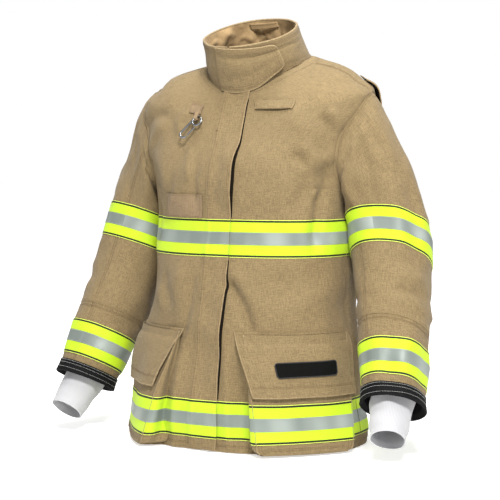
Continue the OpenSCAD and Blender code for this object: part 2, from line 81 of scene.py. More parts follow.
# Change of a station's values per step past the last one
ARM_END = np.array([14, -34, -76, -5, -5], float)
HEAD_END = 2.0
SIDE_GAP = 5.5
RIM_HALF, RIM_FRONT, RIM_BACK, RIM_Y, RIM_H, RIM_SLOPE, RIM_POWER = 97, 96, 98, 18, 846, 0.36, 2.1
# The collar leans a little towards the wearer's right and front
RIM_LEAN = np.array([-5.0, -5.0, 0])


def unit(v):
    """Direction of each vector; where a grid closes to a point there is none, and it stays zero."""
    return v / np.maximum(np.linalg.norm(v, axis=-1, keepdims=True), TINY)


def smooth(x):
    x = np.clip(x, 0, 1)
    return x * x * (3 - 2 * x)


def lerp(a, b, t):
    return a + (b - a) * t


def bow(v, e):
    return np.sign(v) * np.abs(v) ** e


def pair(a, b):
    """Two numbers or arrays, brought to the same shape."""
    return np.broadcast_arrays(np.asarray(a, float), np.asarray(b, float))


def evenly(count):
    return np.linspace(0, 1, count)


def hump(x, middle, width):
    return np.exp(-(((x - middle) / width) ** 2))


def arch(x):
    """Half a sine wave over 0 to 1, with its top at 0.5."""
    return np.sin(math.pi * np.clip(x, 0, 1))


def cubic(a, leave, b, arrive, s):
    """A smooth run from a to b as s goes from 0 to 1, with a slope at each end."""
    return ((2 * s**3 - 3 * s**2 + 1) * a + (s**3 - 2 * s**2 + s) * leave
            + (3 * s**2 - 2 * s**3) * b + (s**3 - s**2) * arrive)


def along(table, count):
    """Each column of a table of points, read at evenly spread places down the table."""
    table = np.array(table, float)
    places = np.linspace(0, len(table) - 1, count)
    return [np.interp(places, range(len(table)), column) for column in table.T]


def running_length(line):
    return np.concatenate([[0], np.cumsum(np.linalg.norm(np.diff(line, axis=0), axis=1))])


def by_level(table, h):
    table = np.array(table, float)
    return np.interp(h, table[:, 0], table[:, 1])


def grid(columns, rows):
    """Two arrays that pair every column value with every row value."""
    return np.meshgrid(np.asarray(columns, float), np.asarray(rows, float))


def mirrored(p, side):
    return p * np.array([side, 1, 1])


def ring(h, column):
    """One column of RINGS at level h, on a smooth curve."""
    levels, values = RINGS[:, 0], RINGS[:, column]
    slopes = np.gradient(values, levels)
    h = np.asarray(h, float)
    i = np.clip(np.searchsorted(levels, h, side="right") - 1, 0, len(levels) - 2)
    d = levels[i + 1] - levels[i]
    s = np.clip((h - levels[i]) / d, 0, 1)
    return cubic(values[i], d * slopes[i], values[i + 1], d * slopes[i + 1], s)


def body(u, h):
    """The plain body surface, without folds."""
    u, h = pair(u, h)
    s, c = np.sin(np.radians(u)), np.cos(np.radians(u))
    centre = ring(h, 4)
    y = centre - np.where(c > 0, ring(h, 2), ring(h, 3)) * bow(c, 2 / BODY_POWER)
    k = smooth((h - TILT_START) / (NECK_H - TILT_START))
    z = h + NECK_TILT * k * (y - centre) - NECK_DIP * k * np.clip(c, 0, 1) ** 3
    return np.stack([ring(h, 1) * bow(s, 2 / BODY_POWER), y + SHIFT_Y, z], -1)


def body_out(u, h):
    across = body(u + 0.6, h) - body(u - 0.6, h)
    up = body(u, np.minimum(h + 1, NECK_H)) - body(u, np.maximum(h - 1, 0))
    return unit(np.cross(across, up))


def u_at(x, h):
    """Angle on the front of the body at sideways place x."""
    return np.degrees(np.arcsin(bow(np.clip(x / ring(h, 1), -1, 1), BODY_POWER / 2)))


def side_u(h):
    """Angle of a front panel's outer edge: the side seam, or the armhole's front edge."""
    reach = np.clip(1 - ((np.asarray(h, float) - ARMHOLE_H) / ARMHOLE_R) ** 2, 0, 1)
    return 90 - ARMHOLE_A * np.sqrt(reach)


def side_x(y, z):
    h = np.minimum(z, ARMHOLE_H)
    d = y - SHIFT_Y - ring(h, 4)
    e = np.maximum(np.abs(d) - 45, 0) / np.where(d < 0, ring(h, 2), ring(h, 3))
    return ring(h, 1) * np.maximum(1 - e**BODY_POWER, 0) ** (1 / BODY_POWER)


def arm_path(t):
    """Centre and radii of the arm at t, on a smooth curve through the stations."""
    last = len(ARM) - 1
    t = np.asarray(t, float)
    beyond = np.maximum(t - last, 0)
    t = np.clip(t, 0, last - 1e-9)
    i = np.floor(t).astype(int)
    f = (t - i)[..., None]
    a, b, c, d = (ARM[np.clip(i + k, 0, last)] for k in (-1, 0, 1, 2))
    q = 0.5 * (2 * b + (c - a) * f + (2 * a - 5 * b + 4 * c - d) * f**2 + (3 * b - a - 3 * c + d) * f**3)
    q[..., 1] += SHIFT_Y
    return q + beyond[..., None] * ARM_END


def arm_ring(psi, t):
    q = arm_path(t)
    ahead, behind = t + 0.01, np.maximum(t - 0.01, 0)
    axis = unit(arm_path(ahead)[..., :3] - arm_path(behind)[..., :3])
    x = np.array([1.0, 0, 0])
    lateral = unit(x - (axis @ x)[..., None] * axis)
    front = np.cross(axis, lateral)
    p = np.radians(psi)
    point = (q[..., :3] + q[..., 3:4] * lateral * np.sin(p)[..., None]
             + q[..., 4:5] * front * np.cos(p)[..., None])
    return point, axis


def armhole(psi):
    p = np.radians(psi)
    return body(90 - ARMHOLE_A * np.cos(p), ARMHOLE_H + ARMHOLE_R * np.sin(p))


def arm(psi, t):
    """The plain sleeve surface of the wearer's left arm, sewn to the armhole at t = 0."""
    psi, t = pair(psi, t)
    start = armhole(psi) - 0.5 * ARM_OUT
    end, axis = arm_ring(psi, np.full(psi.shape, HEAD_END))
    reach = np.linalg.norm(end - start, axis=-1, keepdims=True)
    leave = unit(axis + (0.45 + 0.4 * np.sin(np.radians(psi)))[..., None] * ARM_OUT) * reach
    arrive = axis * reach
    s = np.clip(t / HEAD_END, 0, 1)[..., None]
    head = cubic(start, leave, end, arrive, s)
    free, _ = arm_ring(psi, np.maximum(t, HEAD_END))
    p = np.where((t < HEAD_END)[..., None], head, free)
    gap = SIDE_GAP * smooth(t / 0.35)
    clear = np.maximum(p[..., 0], side_x(p[..., 1], p[..., 2]) + gap)
    p[..., 0] = lerp(p[..., 0], clear, smooth(t / 0.3))
    return p


def arm_out(psi, t):
    """Outward direction of the sleeve."""
    round_it = arm(psi + 1.5, t) - arm(psi - 1.5, t)
    down = arm(psi, t + 0.02) - arm(psi, np.maximum(t - 0.02, 0))
    return unit(np.cross(round_it, -down))


def rim(u):
    s, c = np.sin(np.radians(u)), np.cos(np.radians(u))
    y = RIM_Y - np.where(c > 0, RIM_FRONT, RIM_BACK) * bow(c, 2 / RIM_POWER)
    plain = np.stack([RIM_HALF * bow(s, 2 / RIM_POWER), y + SHIFT_Y, RIM_H + RIM_SLOPE * (y - RIM_Y)], -1)
    return plain + RIM_LEAN


def collar(u, v):
    u, v = pair(u, v)
    return lerp(body(u, NECK_H), rim(u), v[..., None])


def collar_out(u, v):
    return unit(np.cross(collar(u + 0.6, v) - collar(u - 0.6, v), rim(u) - body(u, NECK_H)))


# ---------------------------------------------------------------- folds

RANDOM_SEED = 7
WAVES = 14
# Part of a fold over which a closed end fades out
FOLD_FADE = 0.35


def ripple(p, size, seed):
    """A smooth random field of about unit height over points in space, the same on each run."""
    rng = np.random.default_rng(RANDOM_SEED + seed)
    total = np.zeros(p.shape[:-1])
    for _ in range(WAVES):
        direction = unit(rng.normal(size=3)) / (size * rng.uniform(0.7, 1.6))
        total += np.sin(p @ direction * 2 * math.pi + rng.uniform(0, 2 * math.pi))
    return total * math.sqrt(2 / WAVES)


def line_distance(points, line):
    """Distance from each point to a line of points, and the place along it from 0 to 1."""
    lengths = np.linalg.norm(np.diff(line, axis=0), axis=1)
    best = np.full(len(points), 1e9)
    place = np.zeros(len(points))
    done = 0.0
    for a, b, length in zip(line[:-1], line[1:], lengths):
        t = np.clip((points - a) @ (b - a) / length**2, 0, 1)
        gap = np.linalg.norm(points - a - t[:, None] * (b - a), axis=1)
        near = gap < best
        best[near] = gap[near]
        place[near] = (done + t[near] * length) / lengths.sum()
        done += length
    return best, place


def fold_height(points, surface, folds):
    """Height that the folds give to points on a surface. A fold is a line of places in the surface's two
    coordinates, its width and height, and how open its start and end are (0 fades out, 1 stays full)."""
    flat = points.reshape(-1, 3)
    total = np.zeros(len(flat))
    for route, width, rise, start, end in folds:
        route = np.reshape(route, (-1, 2))
        line = surface(*along(route, 6 * (len(route) - 1) + 1))
        reach = 3 * width
        near = np.where(((flat > line.min(0) - reach) & (flat < line.max(0) + reach)).all(1))[0]
        if not len(near):
            continue
        gap, place = line_distance(flat[near], line)
        fade = lerp(start, 1, smooth(place / FOLD_FADE)) * lerp(end, 1, smooth((1 - place) / FOLD_FADE))
        total[near] += rise * hump(gap, 0, width) * fade
    return total.reshape(points.shape[:-1])


# Folds of the body: angle and level of each place, width, height, open start, open end
BODY_FOLDS = [
    # pull lines from the armholes into the chest
    ((62, 560, 48, 520, 40, 470), 17, -5, 1, 0),
    ((63, 590, 50, 575, 36, 560), 17, 3.5, 1, 0),
    ((66, 540, 60, 500, 58, 440, 60, 380), 14, -8, 1, 0),
    ((43, 706, 48, 680, 55, 652), 9, -5, 0, 0.6),
    ((47, 712, 54, 684, 60, 660), 10, 3.5, 0, 0.6),
    ((33, 610, 40, 590, 48, 562), 10, -5.5, 0, 0),
    ((38, 624, 46, 604, 54, 578), 12, 4.5, 0, 0.3),
    ((50, 556, 54, 530, 57, 500), 10, 4.5, 0, 0),
    ((-60, 560, -50, 520, -44, 480), 20, -4, 1, 0),
    ((-64, 600, -52, 640, -30, 700), 14, 3.5, 1, 0),
    ((-64, 660, -50, 690, -32, 720), 12, -3, 1, 0),
    ((-66, 540, -58, 480, -56, 400), 15, -5, 1, 0),
    ((-45, 620, -40, 560, -42, 500), 24, 3, 0, 0),
    # drape below the collar
    ((-20, 745, -26, 700, -25, 640), 10, 2.5, 0, 0),
    ((22, 735, 30, 700, 34, 650), 18, 2, 0, 0),
    # drag from the closure towards the pockets
    ((7, 330, 14, 292, 19, 248), 11, -6.5, 1, 1),
    ((-12, 590, -15, 540, -13, 480), 10, -3.5, 0, 0.5),
    ((-16, 640, -19, 590, -18, 530), 12, 3, 0, 0),
    ((-30, 560, -34, 520, -46, 474), 12, -3, 0, 0.5),
    ((9, 352, 18, 318, 26, 270), 16, 3.5, 1, 0),
    ((24, 372, 38, 330, 50, 290), 24, -3, 0, 0),
    ((10, 190, 14, 120, 15, 30), 13, -5, 0, 1),
    ((5.5, 240, 8, 120, 9, 10), 9, 3, 0, 1),
    ((-12, 372, -14, 300, -16, 240), 11, -4, 0, 1),
    ((-20, 380, -24, 320, -22, 260), 16, 3, 0, 0),
    ((-40, 360, -34, 310, -26, 268), 14, -3, 0, 0),
    ((-48, 330, -42, 290, -36, 262), 14, 3, 0, 0),
    ((-13, 250, -15, 130, -15, 5), 12, 4, 0, 1),
    # back and sides
    ((118, 640, 128, 540, 132, 440), 26, -5, 1, 0),
    ((-118, 640, -128, 540, -132, 440), 26, -5, 1, 0),
    ((150, 560, 146, 440, 150, 300), 30, 4, 0, 0),
    ((-150, 560, -146, 420, -151, 300), 30, 4, 0, 0),
    ((104, 500, 112, 380, 108, 250), 34, 5, 0, 0.6),
    ((-104, 500, -112, 370, -109, 250), 20, -5, 0, 0),
    ((168, 360, 164, 200, 166, 5), 26, -5, 0, 1),
    ((-166, 340, -163, 190, -165, 5), 26, -5, 0, 1),
    ((128, 300, 130, 160, 128, 5), 26, 5, 0, 1),
    ((-128, 310, -130, 160, -129, 5), 26, 5, 0, 1),
    ((140, 720, 160, 700, 180, 696, 200, 700, 220, 720), 22, 4, 0, 0),
    # slope of the shoulders
    ((-50, 742, -85, 742, -130, 742), 26, -6, 0, 0),
    ((50, 748, 85, 748, 130, 748), 24, -4, 0, 0),
]


def body_fold(u, h):
    p = body(u, h)
    quiet = smooth(h / 60) * 0.6 + 0.4
    soft = 2.2 * ripple(p, 150, 1) * quiet + 0.8 * ripple(p, 62, 2)
    return 1.5 * fold_height(p, body, BODY_FOLDS) + soft


def body_at(u, h, off):
    """A place off the folded body surface; nothing goes below the hem."""
    u, h = pair(u, h)
    p = body(u, h) + (body_fold(u, h) + off)[..., None] * body_out(u, h)
    p[..., 2] = np.maximum(p[..., 2], 0.2)
    return p


# Folds of a sleeve, in the same way, by psi and t
ARM_FOLDS = [
    # gathers of the head and the armpit
    ((55, 0.15, 58, 0.6, 50, 1.2), 10, 4, 0.4, 0),
    ((28, 0.2, 20, 0.7, 10, 1.3, 8, 1.8), 12, -8, 0.6, 0),
    ((-20, 0.3, -26, 0.9, -20, 1.6), 12, 5, 0.6, 0),
    ((46, 0.1, 43, 0.5, 44, 0.9), 8, -5, 1, 0),
    ((40, 0.10, 10, 0.2, -20, 0.35, -32, 0.6), 8, -4.5, 0.5, 0),
    ((48, 0.26, 18, 0.38, -8, 0.55, -18, 0.9), 9, 3.5, 0.3, 0),
    ((345, 0.9, 352, 1.6, 0, 2.3), 14, -5, 0.5, 0),
    ((90, 0.6, 84, 1.3, 76, 2.2), 22, 4, 0, 0.6),
    ((36, 1.0, 34, 1.7, 36, 2.5), 16, 5, 0, 0.6),
    ((62, 1.2, 62, 1.9, 58, 2.6), 17, -5, 0, 0.3),
    ((150, 0.4, 160, 1.2, 150, 2.0), 18, -6, 0.5, 0),
    # cross folds of the elbow
    ((20, 2.72, 52, 2.86, 88, 2.80), 11, 4, 0, 0),
    ((10, 2.98, 45, 3.06, 80, 2.98), 9, -4.5, 0, 0),
    ((0, 3.22, 38, 3.20, 70, 3.28), 11, 2.5, 0, 0),
    ((330, 2.86, 350, 3.0, 20, 3.1), 10, -5, 0, 0),
    ((320, 3.1, 345, 3.2, 10, 3.3), 10, 5, 0, 0),
    ((120, 2.9, 155, 3.0, 190, 2.95), 16, 2.5, 0, 0),
    ((130, 3.2, 160, 3.28, 200, 3.2), 14, -2.5, 0, 0),
    # long drape of the forearm
    ((48, 3.3, 42, 4.0, 40, 4.9), 15, 4, 0, 0.8),
    ((18, 3.4, 14, 4.1, 12, 4.9), 14, -4, 0, 0.6),
    ((80, 3.5, 84, 4.2, 80, 4.9), 18, -4, 0, 0.6),
    ((150, 3.5, 150, 4.2, 154, 4.9), 22, 4, 0, 0.6),
]

# How far rings slide down each sleeve: (place, slide all round, slide of the side turned down)
ARM_SLIDE = {
    LEFT: ((0, 0, 0), (0.6, 0, 0.02), (1.8, 0, 0.17), (2.5, 0, 0.17), (3.4, 0.02, 0.13), (4.2, 0.04, 0.12),
           (5, 0.08, 0.12)),
    RIGHT: ((0, 0, 0), (1, 0, 0), (1.8, -0.07, 0), (2.5, -0.06, 0), (3.4, 0, 0), (4.2, 0.04, 0),
            (5, 0.05, 0)),
}
LOW_SIDE = 150.0
# Flat outer side of each upper sleeve: the side it is on, its place, its reach and its depth
ARM_FLAT = {LEFT: (118.0, 1.1, 0.85, 13.0), RIGHT: (62.0, 0.95, 0.65, 16.0)}


def arm_at(psi, t, off, side=LEFT):
    """A place off the folded sleeve surface of either arm."""
    psi, t = pair(psi, t)
    slide = np.array(ARM_SLIDE[side], float)
    turned = np.cos(np.radians(psi - LOW_SIDE))
    t = t + np.interp(t, slide[:, 0], slide[:, 1]) + np.interp(t, slide[:, 0], slide[:, 2]) * turned
    p = arm(psi, t)
    held = smooth((t - 0.02) / 0.3)
    rise = fold_height(p, lambda a, b: arm(a % 360, b), ARM_FOLDS)
    folded = 1.0 if side == LEFT else 0.4
    rise = (folded * rise + 1.3 * ripple(p, 110, 5 if side == LEFT else 9) + 0.6 * ripple(p, 44, 6)) * held
    flat_psi, flat_t, flat_reach, flat_depth = ARM_FLAT[side]
    facing = np.clip(np.cos(np.radians(psi - flat_psi)), 0, 1) ** 2
    rise = rise - flat_depth * facing * hump(t, flat_t, flat_reach) * held
    turn = np.radians(psi)
    u, h = 90 - ARMHOLE_A * np.cos(turn), ARMHOLE_H + ARMHOLE_R * np.sin(turn)
    seam = (body_fold(u, h) * (1 - held))[..., None] * body_out(u, h)
    q = p + seam + (rise + off)[..., None] * arm_out(psi, t)
    free = smooth(t / 0.35)
    q[..., 0] = np.maximum(q[..., 0], side_x(q[..., 1], q[..., 2]) + lerp(-60, 2.5, free) + off)
    q[..., 0] *= side
    return q


def collar_at(u, v, off):
    u, v = pair(u, v)
    p = collar(u, v)
    swell = 2.2 * arch(v) * (0.5 + 0.5 * np.cos(np.radians(u)))
    rise = swell + 1.0 * ripple(p, 70, 11) * smooth(v / 0.3)
    around = u % 360
    rise = rise - 2.6 * hump(v, 0.74 - 0.001 * around, 0.05) * hump(around, 40, 60)
    return p + (rise + off)[..., None] * collar_out(u, v)


# ---------------------------------------------------------------- pockets

POCKET_U, POCKET_TURN, POCKET_LOW, POCKET_W, POCKET_H = 47.5, 46.0, 5.0, 203.0, 229.0
POCKET_HIGH = POCKET_LOW + POCKET_H
POCKET_ALONG = np.array([math.cos(math.radians(POCKET_TURN)), math.sin(math.radians(POCKET_TURN)), 0])
POCKET_OUT = np.array([math.sin(math.radians(POCKET_TURN)), -math.cos(math.radians(POCKET_TURN)), 0])
POCKET_STAND, POCKET_TOP_STAND, POCKET_CROWN, POCKET_BULGE = 17.0, 8.0, 8.0, 4.0


def pocket_root(s, z, off):
    """Place on the body whose distance across the pocket is s."""
    s, z = pair(s, z)
    us = np.linspace(5, 110, 211)
    found = np.empty(s.shape)
    for level in np.unique(z):
        row = (body(us, level) - body(POCKET_U, level)) @ POCKET_ALONG
        at = z == level
        found[at] = np.interp(s[at], row, us)
    return body_at(found, z, off)


def pocket_face(s, z, off):
    """Front of the pocket: it follows the body at the mouth and stands straight across it at the bottom."""
    s, z = pair(s, z)
    low = body(POCKET_U, POCKET_LOW) + POCKET_STAND * POCKET_OUT + s[..., None] * POCKET_ALONG
    low[..., 2] = POCKET_LOW
    high = pocket_root(s, np.full(s.shape, POCKET_HIGH), POCKET_TOP_STAND)
    k = (z - POCKET_LOW) / POCKET_H
    kc = np.clip(k, 0, 1)
    p = lerp(low, high, k[..., None])
    soft = 1.6 * ripple(p, 90, 21) * arch(kc)
    rise = off + soft + POCKET_BULGE * arch(kc) - POCKET_CROWN * (2 * s / POCKET_W) ** 2 * (1 - kc)
    return p + rise[..., None] * POCKET_OUT


# ---------------------------------------------------------------- building meshes

def lengths_along(p, axis):
    """Running cloth length along one axis of a grid, in metres, from its middle line."""
    return running_length(p[:, p.shape[1] // 2] if axis == 0 else p[p.shape[0] // 2]) * MM


TUBE_SIDES = 8
THREAD_WIDE, THREAD_HIGH = 0.55, 0.4
SHARP_ANGLE = math.radians(48)


def in_scene(name, data):
    made = bpy.data.objects.new(name, data)
    bpy.context.scene.collection.objects.link(made)
    return made


class Piece:
    """One visual piece: sheets, threads and tubes collected in a single mesh."""

    def __init__(self, name, slot):
        self.name = name
        self.slot = slot
        self.points = []
        self.faces = []
        self.uvs = []
        self.marks = []
        self.materials = []
        self.count = 0

    def mark(self, material):
        if material not in self.materials:
            self.materials.append(material)
        return self.materials.index(material)

    def add(self, points, faces, uvs, marks):
        self.points.append(points)
        self.faces.append(faces + self.count)
        self.uvs.append(uvs)
        self.marks.append(marks)
        self.count += len(points)

    def sheet(self, face, back, material, wrap=False, row_materials=None, back_material=None):
        """A closed sheet of cloth between two grids of points; wrap joins its last column to its first."""
        rows, cols = face.shape[:2]
        full = np.concatenate([face, face[:, :1]], 1) if wrap else face
        across, up = lengths_along(full, 1), lengths_along(full, 0)
        r, c = np.meshgrid(np.arange(rows - 1), np.arange(full.shape[1] - 1), indexing="ij")
        r, c = r.ravel(), c.ravel()

        def index(i, j):
            return i * cols + j % cols

        quad = np.stack([index(r, c), index(r, c + 1), index(r + 1, c + 1), index(r + 1, c)], 1)
        corners = ((0, 0), (1, 0), (1, 1), (0, 1))
        uv = np.stack([np.stack([across[c + a], up[r + b]], 1) for a, b in corners], 1)
        n = rows * cols
        faces = [quad, quad[:, ::-1] + n]
        uvs = [uv, uv[:, ::-1]]
        tint = np.array([self.mark(m) for m in row_materials])[r] if row_materials else (
            np.full(len(r), self.mark(material)))
        lining = np.full(len(r), self.mark(back_material)) if back_material else tint
        marks = [tint, lining]

        def close(first, second, turned, x, y, mark):
            """A strip that joins one edge of the face to the back."""
            strip = np.stack([first, second, second + n, first + n], 1)
            faces.append(strip[:, ::-1] if turned else strip)
            uvs.append(np.repeat(np.stack(pair(x, y), 1)[:, None], 4, 1))
            marks.append(mark)

        edge = np.arange(full.shape[1] - 1)
        for i in (0, rows - 1):
            mark = np.full(len(edge), tint[-1 if i else 0])
            close(index(i, edge + 1), index(i, edge), i > 0, across[edge], up[i], mark)
        if not wrap:
            edge = np.arange(rows - 1)
            for j in (0, cols - 1):
                mark = tint[edge * (full.shape[1] - 1)]
                close(index(edge, j), index(edge + 1, j), j > 0, across[j], up[edge], mark)
        points = np.concatenate([face.reshape(-1, 3), back.reshape(-1, 3)])
        self.add(points, np.concatenate(faces), np.concatenate(uvs), np.concatenate(marks))

    def tube(self, line, radius, material, closed=False, flat=1.0, out=(0.31, 0.22, 0.92)):
        """A round or flattened tube along a line of points."""
        line = np.asarray(line, float)
        n = len(line)
        if closed:
            axis = unit(np.roll(line, -1, 0) - np.roll(line, 1, 0))
        else:
            axis = unit(np.gradient(line, axis=0))
        side = unit(np.cross(axis, out))
        top = np.cross(side, axis)
        turn = np.linspace(0, 2 * math.pi, TUBE_SIDES, endpoint=False)[:, None]
        ringed = line[:, None] + radius * (side[:, None] * np.cos(turn) + flat * top[:, None] * np.sin(turn))
        run = running_length(line) * MM
        i, j = np.meshgrid(np.arange(n if closed else n - 1), np.arange(TUBE_SIDES), indexing="ij")
        i, j = i.ravel(), j.ravel()
        here, there = i * TUBE_SIDES, (i + 1) % n * TUBE_SIDES
        beside = (j + 1) % TUBE_SIDES
        quad = np.stack([here + j, here + beside, there + beside, there + j], 1)
        round_at = j * 2 * math.pi / TUBE_SIDES * radius * MM
        uv = np.repeat(np.stack([round_at, run[i]], 1)[:, None], 4, 1)
        faces, uvs = [quad], [uv]
        if not closed:
            for base in (0, (n - 1) * TUBE_SIDES):
                last = base + TUBE_SIDES - 1
                cap = np.array([[base + q, base + q + 1, last - 1 - q, last - q]
                                for q in range(TUBE_SIDES // 2 - 1)])
                faces.append(cap[:, ::-1] if base == 0 else cap)
                uvs.append(np.zeros((len(cap), 4, 2)))
        faces = np.concatenate(faces)
        self.add(ringed.reshape(-1, 3), faces, np.concatenate(uvs), np.full(len(faces), self.mark(material)))

    def stitches(self, line, out, material, pitch=3.3, length=2.3):
        """A row of thread stitches along a line, lying on the side that out points to."""
        line = np.asarray(line, float)
        out = np.broadcast_to(out, line.shape)
        run = running_length(line)
        places = np.arange(pitch / 2, run[-1], pitch)
        if not len(places):
            return

        def sample(values, at):
            return np.stack([np.interp(at, run, values[:, k]) for k in range(3)], 1)

        a, b = sample(line, places - length / 2), sample(line, places + length / 2)
        up = unit(sample(out, places))
        side = unit(np.cross(b - a, up)) * THREAD_WIDE / 2
        high = up * THREAD_HIGH
        corners = [a - side, a + side, b + side, b - side]
        points = np.stack(corners + [c * 0.88 + (a + b) / 2 * 0.12 + high for c in corners], 1)
        box = np.array([[0, 1, 2, 3], [4, 7, 6, 5], [0, 4, 5, 1], [1, 5, 6, 2], [2, 6, 7, 3], [3, 7, 4, 0]])
        faces = (np.arange(len(places))[:, None, None] * 8 + box).reshape(-1, 4)
        self.add(points.reshape(-1, 3), faces, np.zeros((len(faces), 4, 2)),
                 np.full(len(faces), self.mark(material)))

    def build(self, *nodes):
        """Makes the Blender object, which stands for the given CAD nodes."""
        mesh = bpy.data.meshes.new(self.name)
        faces = np.concatenate(self.faces)
        mesh.from_pydata((np.concatenate(self.points) * MM).tolist(), [], faces.tolist())
        mesh.polygons.foreach_set("material_index", np.concatenate(self.marks).astype(np.int32))
        layer = mesh.uv_layers.new(name="cloth")
        layer.data.foreach_set("uv", np.concatenate(self.uvs).astype(np.float32).ravel())
        for material in self.materials:
            mesh.materials.append(MATERIALS[material])
        bm = bmesh.new()
        bm.from_mesh(mesh)
        bmesh.ops.recalc_face_normals(bm, faces=bm.faces)
        bm.to_mesh(mesh)
        bm.free()
        mesh.shade_smooth()
        mesh.set_sharp_from_angle(angle=SHARP_ANGLE)
        made = in_scene(self.name, mesh)
        if nodes:
            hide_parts(*nodes)
        return made


# ---------------------------------------------------------------- materials

MATERIALS = {}


def srgb(r, g, b):
    """Linear colour of a colour given in the usual 0 to 255 steps."""
    return tuple(((c / 255 + 0.055) / 1.055) ** 2.4 if c > 10 else c / 255 / 12.92 for c in (r, g, b)) + (1,)


def shaded(color, factor):
    return tuple(min(c * factor, 1) for c in color[:3]) + (1,)


class Nodes:
    """Short names for building a material's node tree."""

    def __init__(self, name):
        self.name = name
        self.material = bpy.data.materials.new("coat_" + name)
        self.material.use_nodes = True
        self.tree = self.material.node_tree
        self.shader = self.tree.nodes["Principled BSDF"]

    def new(self, kind, **inputs):
        node = self.tree.nodes.new("ShaderNode" + kind)
        for key, value in inputs.items():
            self.put(node.inputs[key.replace("_", " ")], value)
        return node

    def put(self, socket, value):
        if isinstance(value, bpy.types.NodeSocket):
            self.tree.links.new(value, socket)
        else:
            socket.default_value = value

    def math(self, operation, a, b=0.0, clamp=False):
        node = self.tree.nodes.new("ShaderNodeMath")
        node.operation = operation
        node.use_clamp = clamp
        self.put(node.inputs[0], a)
        self.put(node.inputs[1], b)
        return node.outputs[0]

    def times(self, a, b):
        return self.math("MULTIPLY", a, b)

    def plus(self, a, b, clamp=False):
        return self.math("ADD", a, b, clamp)

    def scaled(self, value, factor, shift):
        made = self.math("MULTIPLY_ADD", value, factor)
        self.put(made.node.inputs[2], shift)
        return made

    def mix(self, factor, a, b):
        node = self.tree.nodes.new("ShaderNodeMix")
        node.data_type = "RGBA"
        self.put(node.inputs[0], factor)
        self.put(node.inputs[6], a)
        self.put(node.inputs[7], b)
        return node.outputs[2]

    def cloth_axes(self):
        """The two lengths along the cloth, in metres."""
        node = self.tree.nodes.new("ShaderNodeUVMap")
        node.uv_map = "cloth"
        split = self.new("SeparateXYZ", Vector=node.outputs[0])
        return split.outputs[0], split.outputs[1]

    def noise(self, x, y, fine_x, fine_y, detail=2.0):
        """Smooth noise of about one wave per 1/fine metres along each axis."""
        place = self.new("CombineXYZ", X=self.times(x, fine_x), Y=self.times(y, fine_y))
        return self.new("TexNoise", Vector=place.outputs[0], Scale=1.0, Detail=detail).outputs[0]

    def waves(self, x, pitch):
        """A sine of the given pitch, from 0 to 1."""
        turn = self.times(x, 2 * math.pi / pitch)
        return self.scaled(self.math("SINE", turn), 0.5, 0.5)

    def noise_in_space(self, scale, detail):
        place = self.tree.nodes.new("ShaderNodeTexCoord").outputs["Object"]
        return self.new("TexNoise", Vector=place, Scale=scale, Detail=detail).outputs[0]

    def bump(self, height, strength, distance):
        node = self.new("Bump", Height=height, Strength=strength, Distance=distance)
        self.put(self.shader.inputs["Normal"], node.outputs[0])

    def finish(self, color, roughness, sheen=0.0, metallic=0.0, emission=0.0, specular=0.3):
        s = self.shader.inputs
        self.put(s["Base Color"], color)
        self.put(s["Roughness"], roughness)
        self.put(s["Metallic"], metallic)
        self.put(s["Sheen Weight"], sheen)
        self.put(s["Specular IOR Level"], specular)
        if emission:
            self.put(s["Emission Color"], color)
            self.put(s["Emission Strength"], emission)
        MATERIALS[self.name] = self.material


def woven(name, color, pitch=0.0011, slub=0.42, squares=0.0, rough=0.86, sheen=0.06, shine=0.2):
    """Plain-weave cloth: crossing threads of the given pitch, uneven yarn, soft patches, and a faint
    reinforcing grid where squares is its size."""
    n = Nodes(name)
    x, y = n.cloth_axes()
    base = srgb(*color)
    pale = shaded(base, 1.28)
    yarn_x = n.noise(x, y, 640, 60)
    yarn_y = n.noise(x, y, 60, 640)
    coarse = n.noise(x, y, 420, 420)
    yarn = n.times(n.plus(n.plus(yarn_x, yarn_y), coarse), 1 / 3)
    tone = n.scaled(n.math("SUBTRACT", yarn, 0.5), slub * 12, 0.5)
    cloudy = n.scaled(n.math("SUBTRACT", n.noise(x, y, 7, 7, 3.0), 0.5), 0.4, 0.0)
    level = n.plus(tone, cloudy, clamp=True)
    color_out = n.mix(0.75, base, n.mix(level, shaded(base, 0.62), pale))
    weave = n.times(n.waves(x, pitch * 2), n.waves(y, pitch * 2))
    height = n.plus(n.times(weave, 0.6), yarn)
    if squares:
        rib = n.math("POWER", n.math("MAXIMUM", n.waves(x, squares), n.waves(y, squares)), 24.0)
        color_out = n.mix(n.times(rib, 0.07), color_out, pale)
        height = n.plus(height, n.times(rib, 0.4))
    n.bump(height, 0.8, 0.0006)
    n.finish(color_out, rough, sheen, specular=shine)


def trim_fabric(name, color, glow):
    """Fluorescent woven tape, with a painted glow: glow sets an emission in the tape's own colour."""
    n = Nodes(name)
    x, y = n.cloth_axes()
    base = srgb(*color)
    thread = n.noise(x, y, 700, 120)
    weave = n.times(n.waves(x, 0.0016), n.waves(y, 0.0016))
    color_out = n.mix(n.times(thread, 0.4), base, shaded(base, 0.8))
    n.bump(n.plus(weave, thread), 0.35, 0.0004)
    n.finish(color_out, 0.72, 0.05, emission=glow)


def silver_tape(name):
    """Retroreflective tape: grey glass-bead film with soft bright and dark streaks across it, painted on as
    reflections.
    """
    n = Nodes(name)
    x, y = n.cloth_axes()
    slant = n.plus(x, n.times(y, 0.12))
    reflection_streak = n.noise(slant, y, 15, 3, 1.0)
    broad = n.noise(x, y, 7, 2, 0.0)
    level = n.plus(n.times(n.math("SUBTRACT", reflection_streak, 0.53), 3.0), broad, clamp=True)
    color_out = n.mix(level, srgb(102, 110, 105), srgb(140, 148, 142))
    bead = n.noise(x, y, 2500, 2500, 0.0)
    n.bump(bead, 0.12, 0.0002)
    n.finish(color_out, n.scaled(bead, 0.15, 0.42), metallic=0.2, specular=0.4)


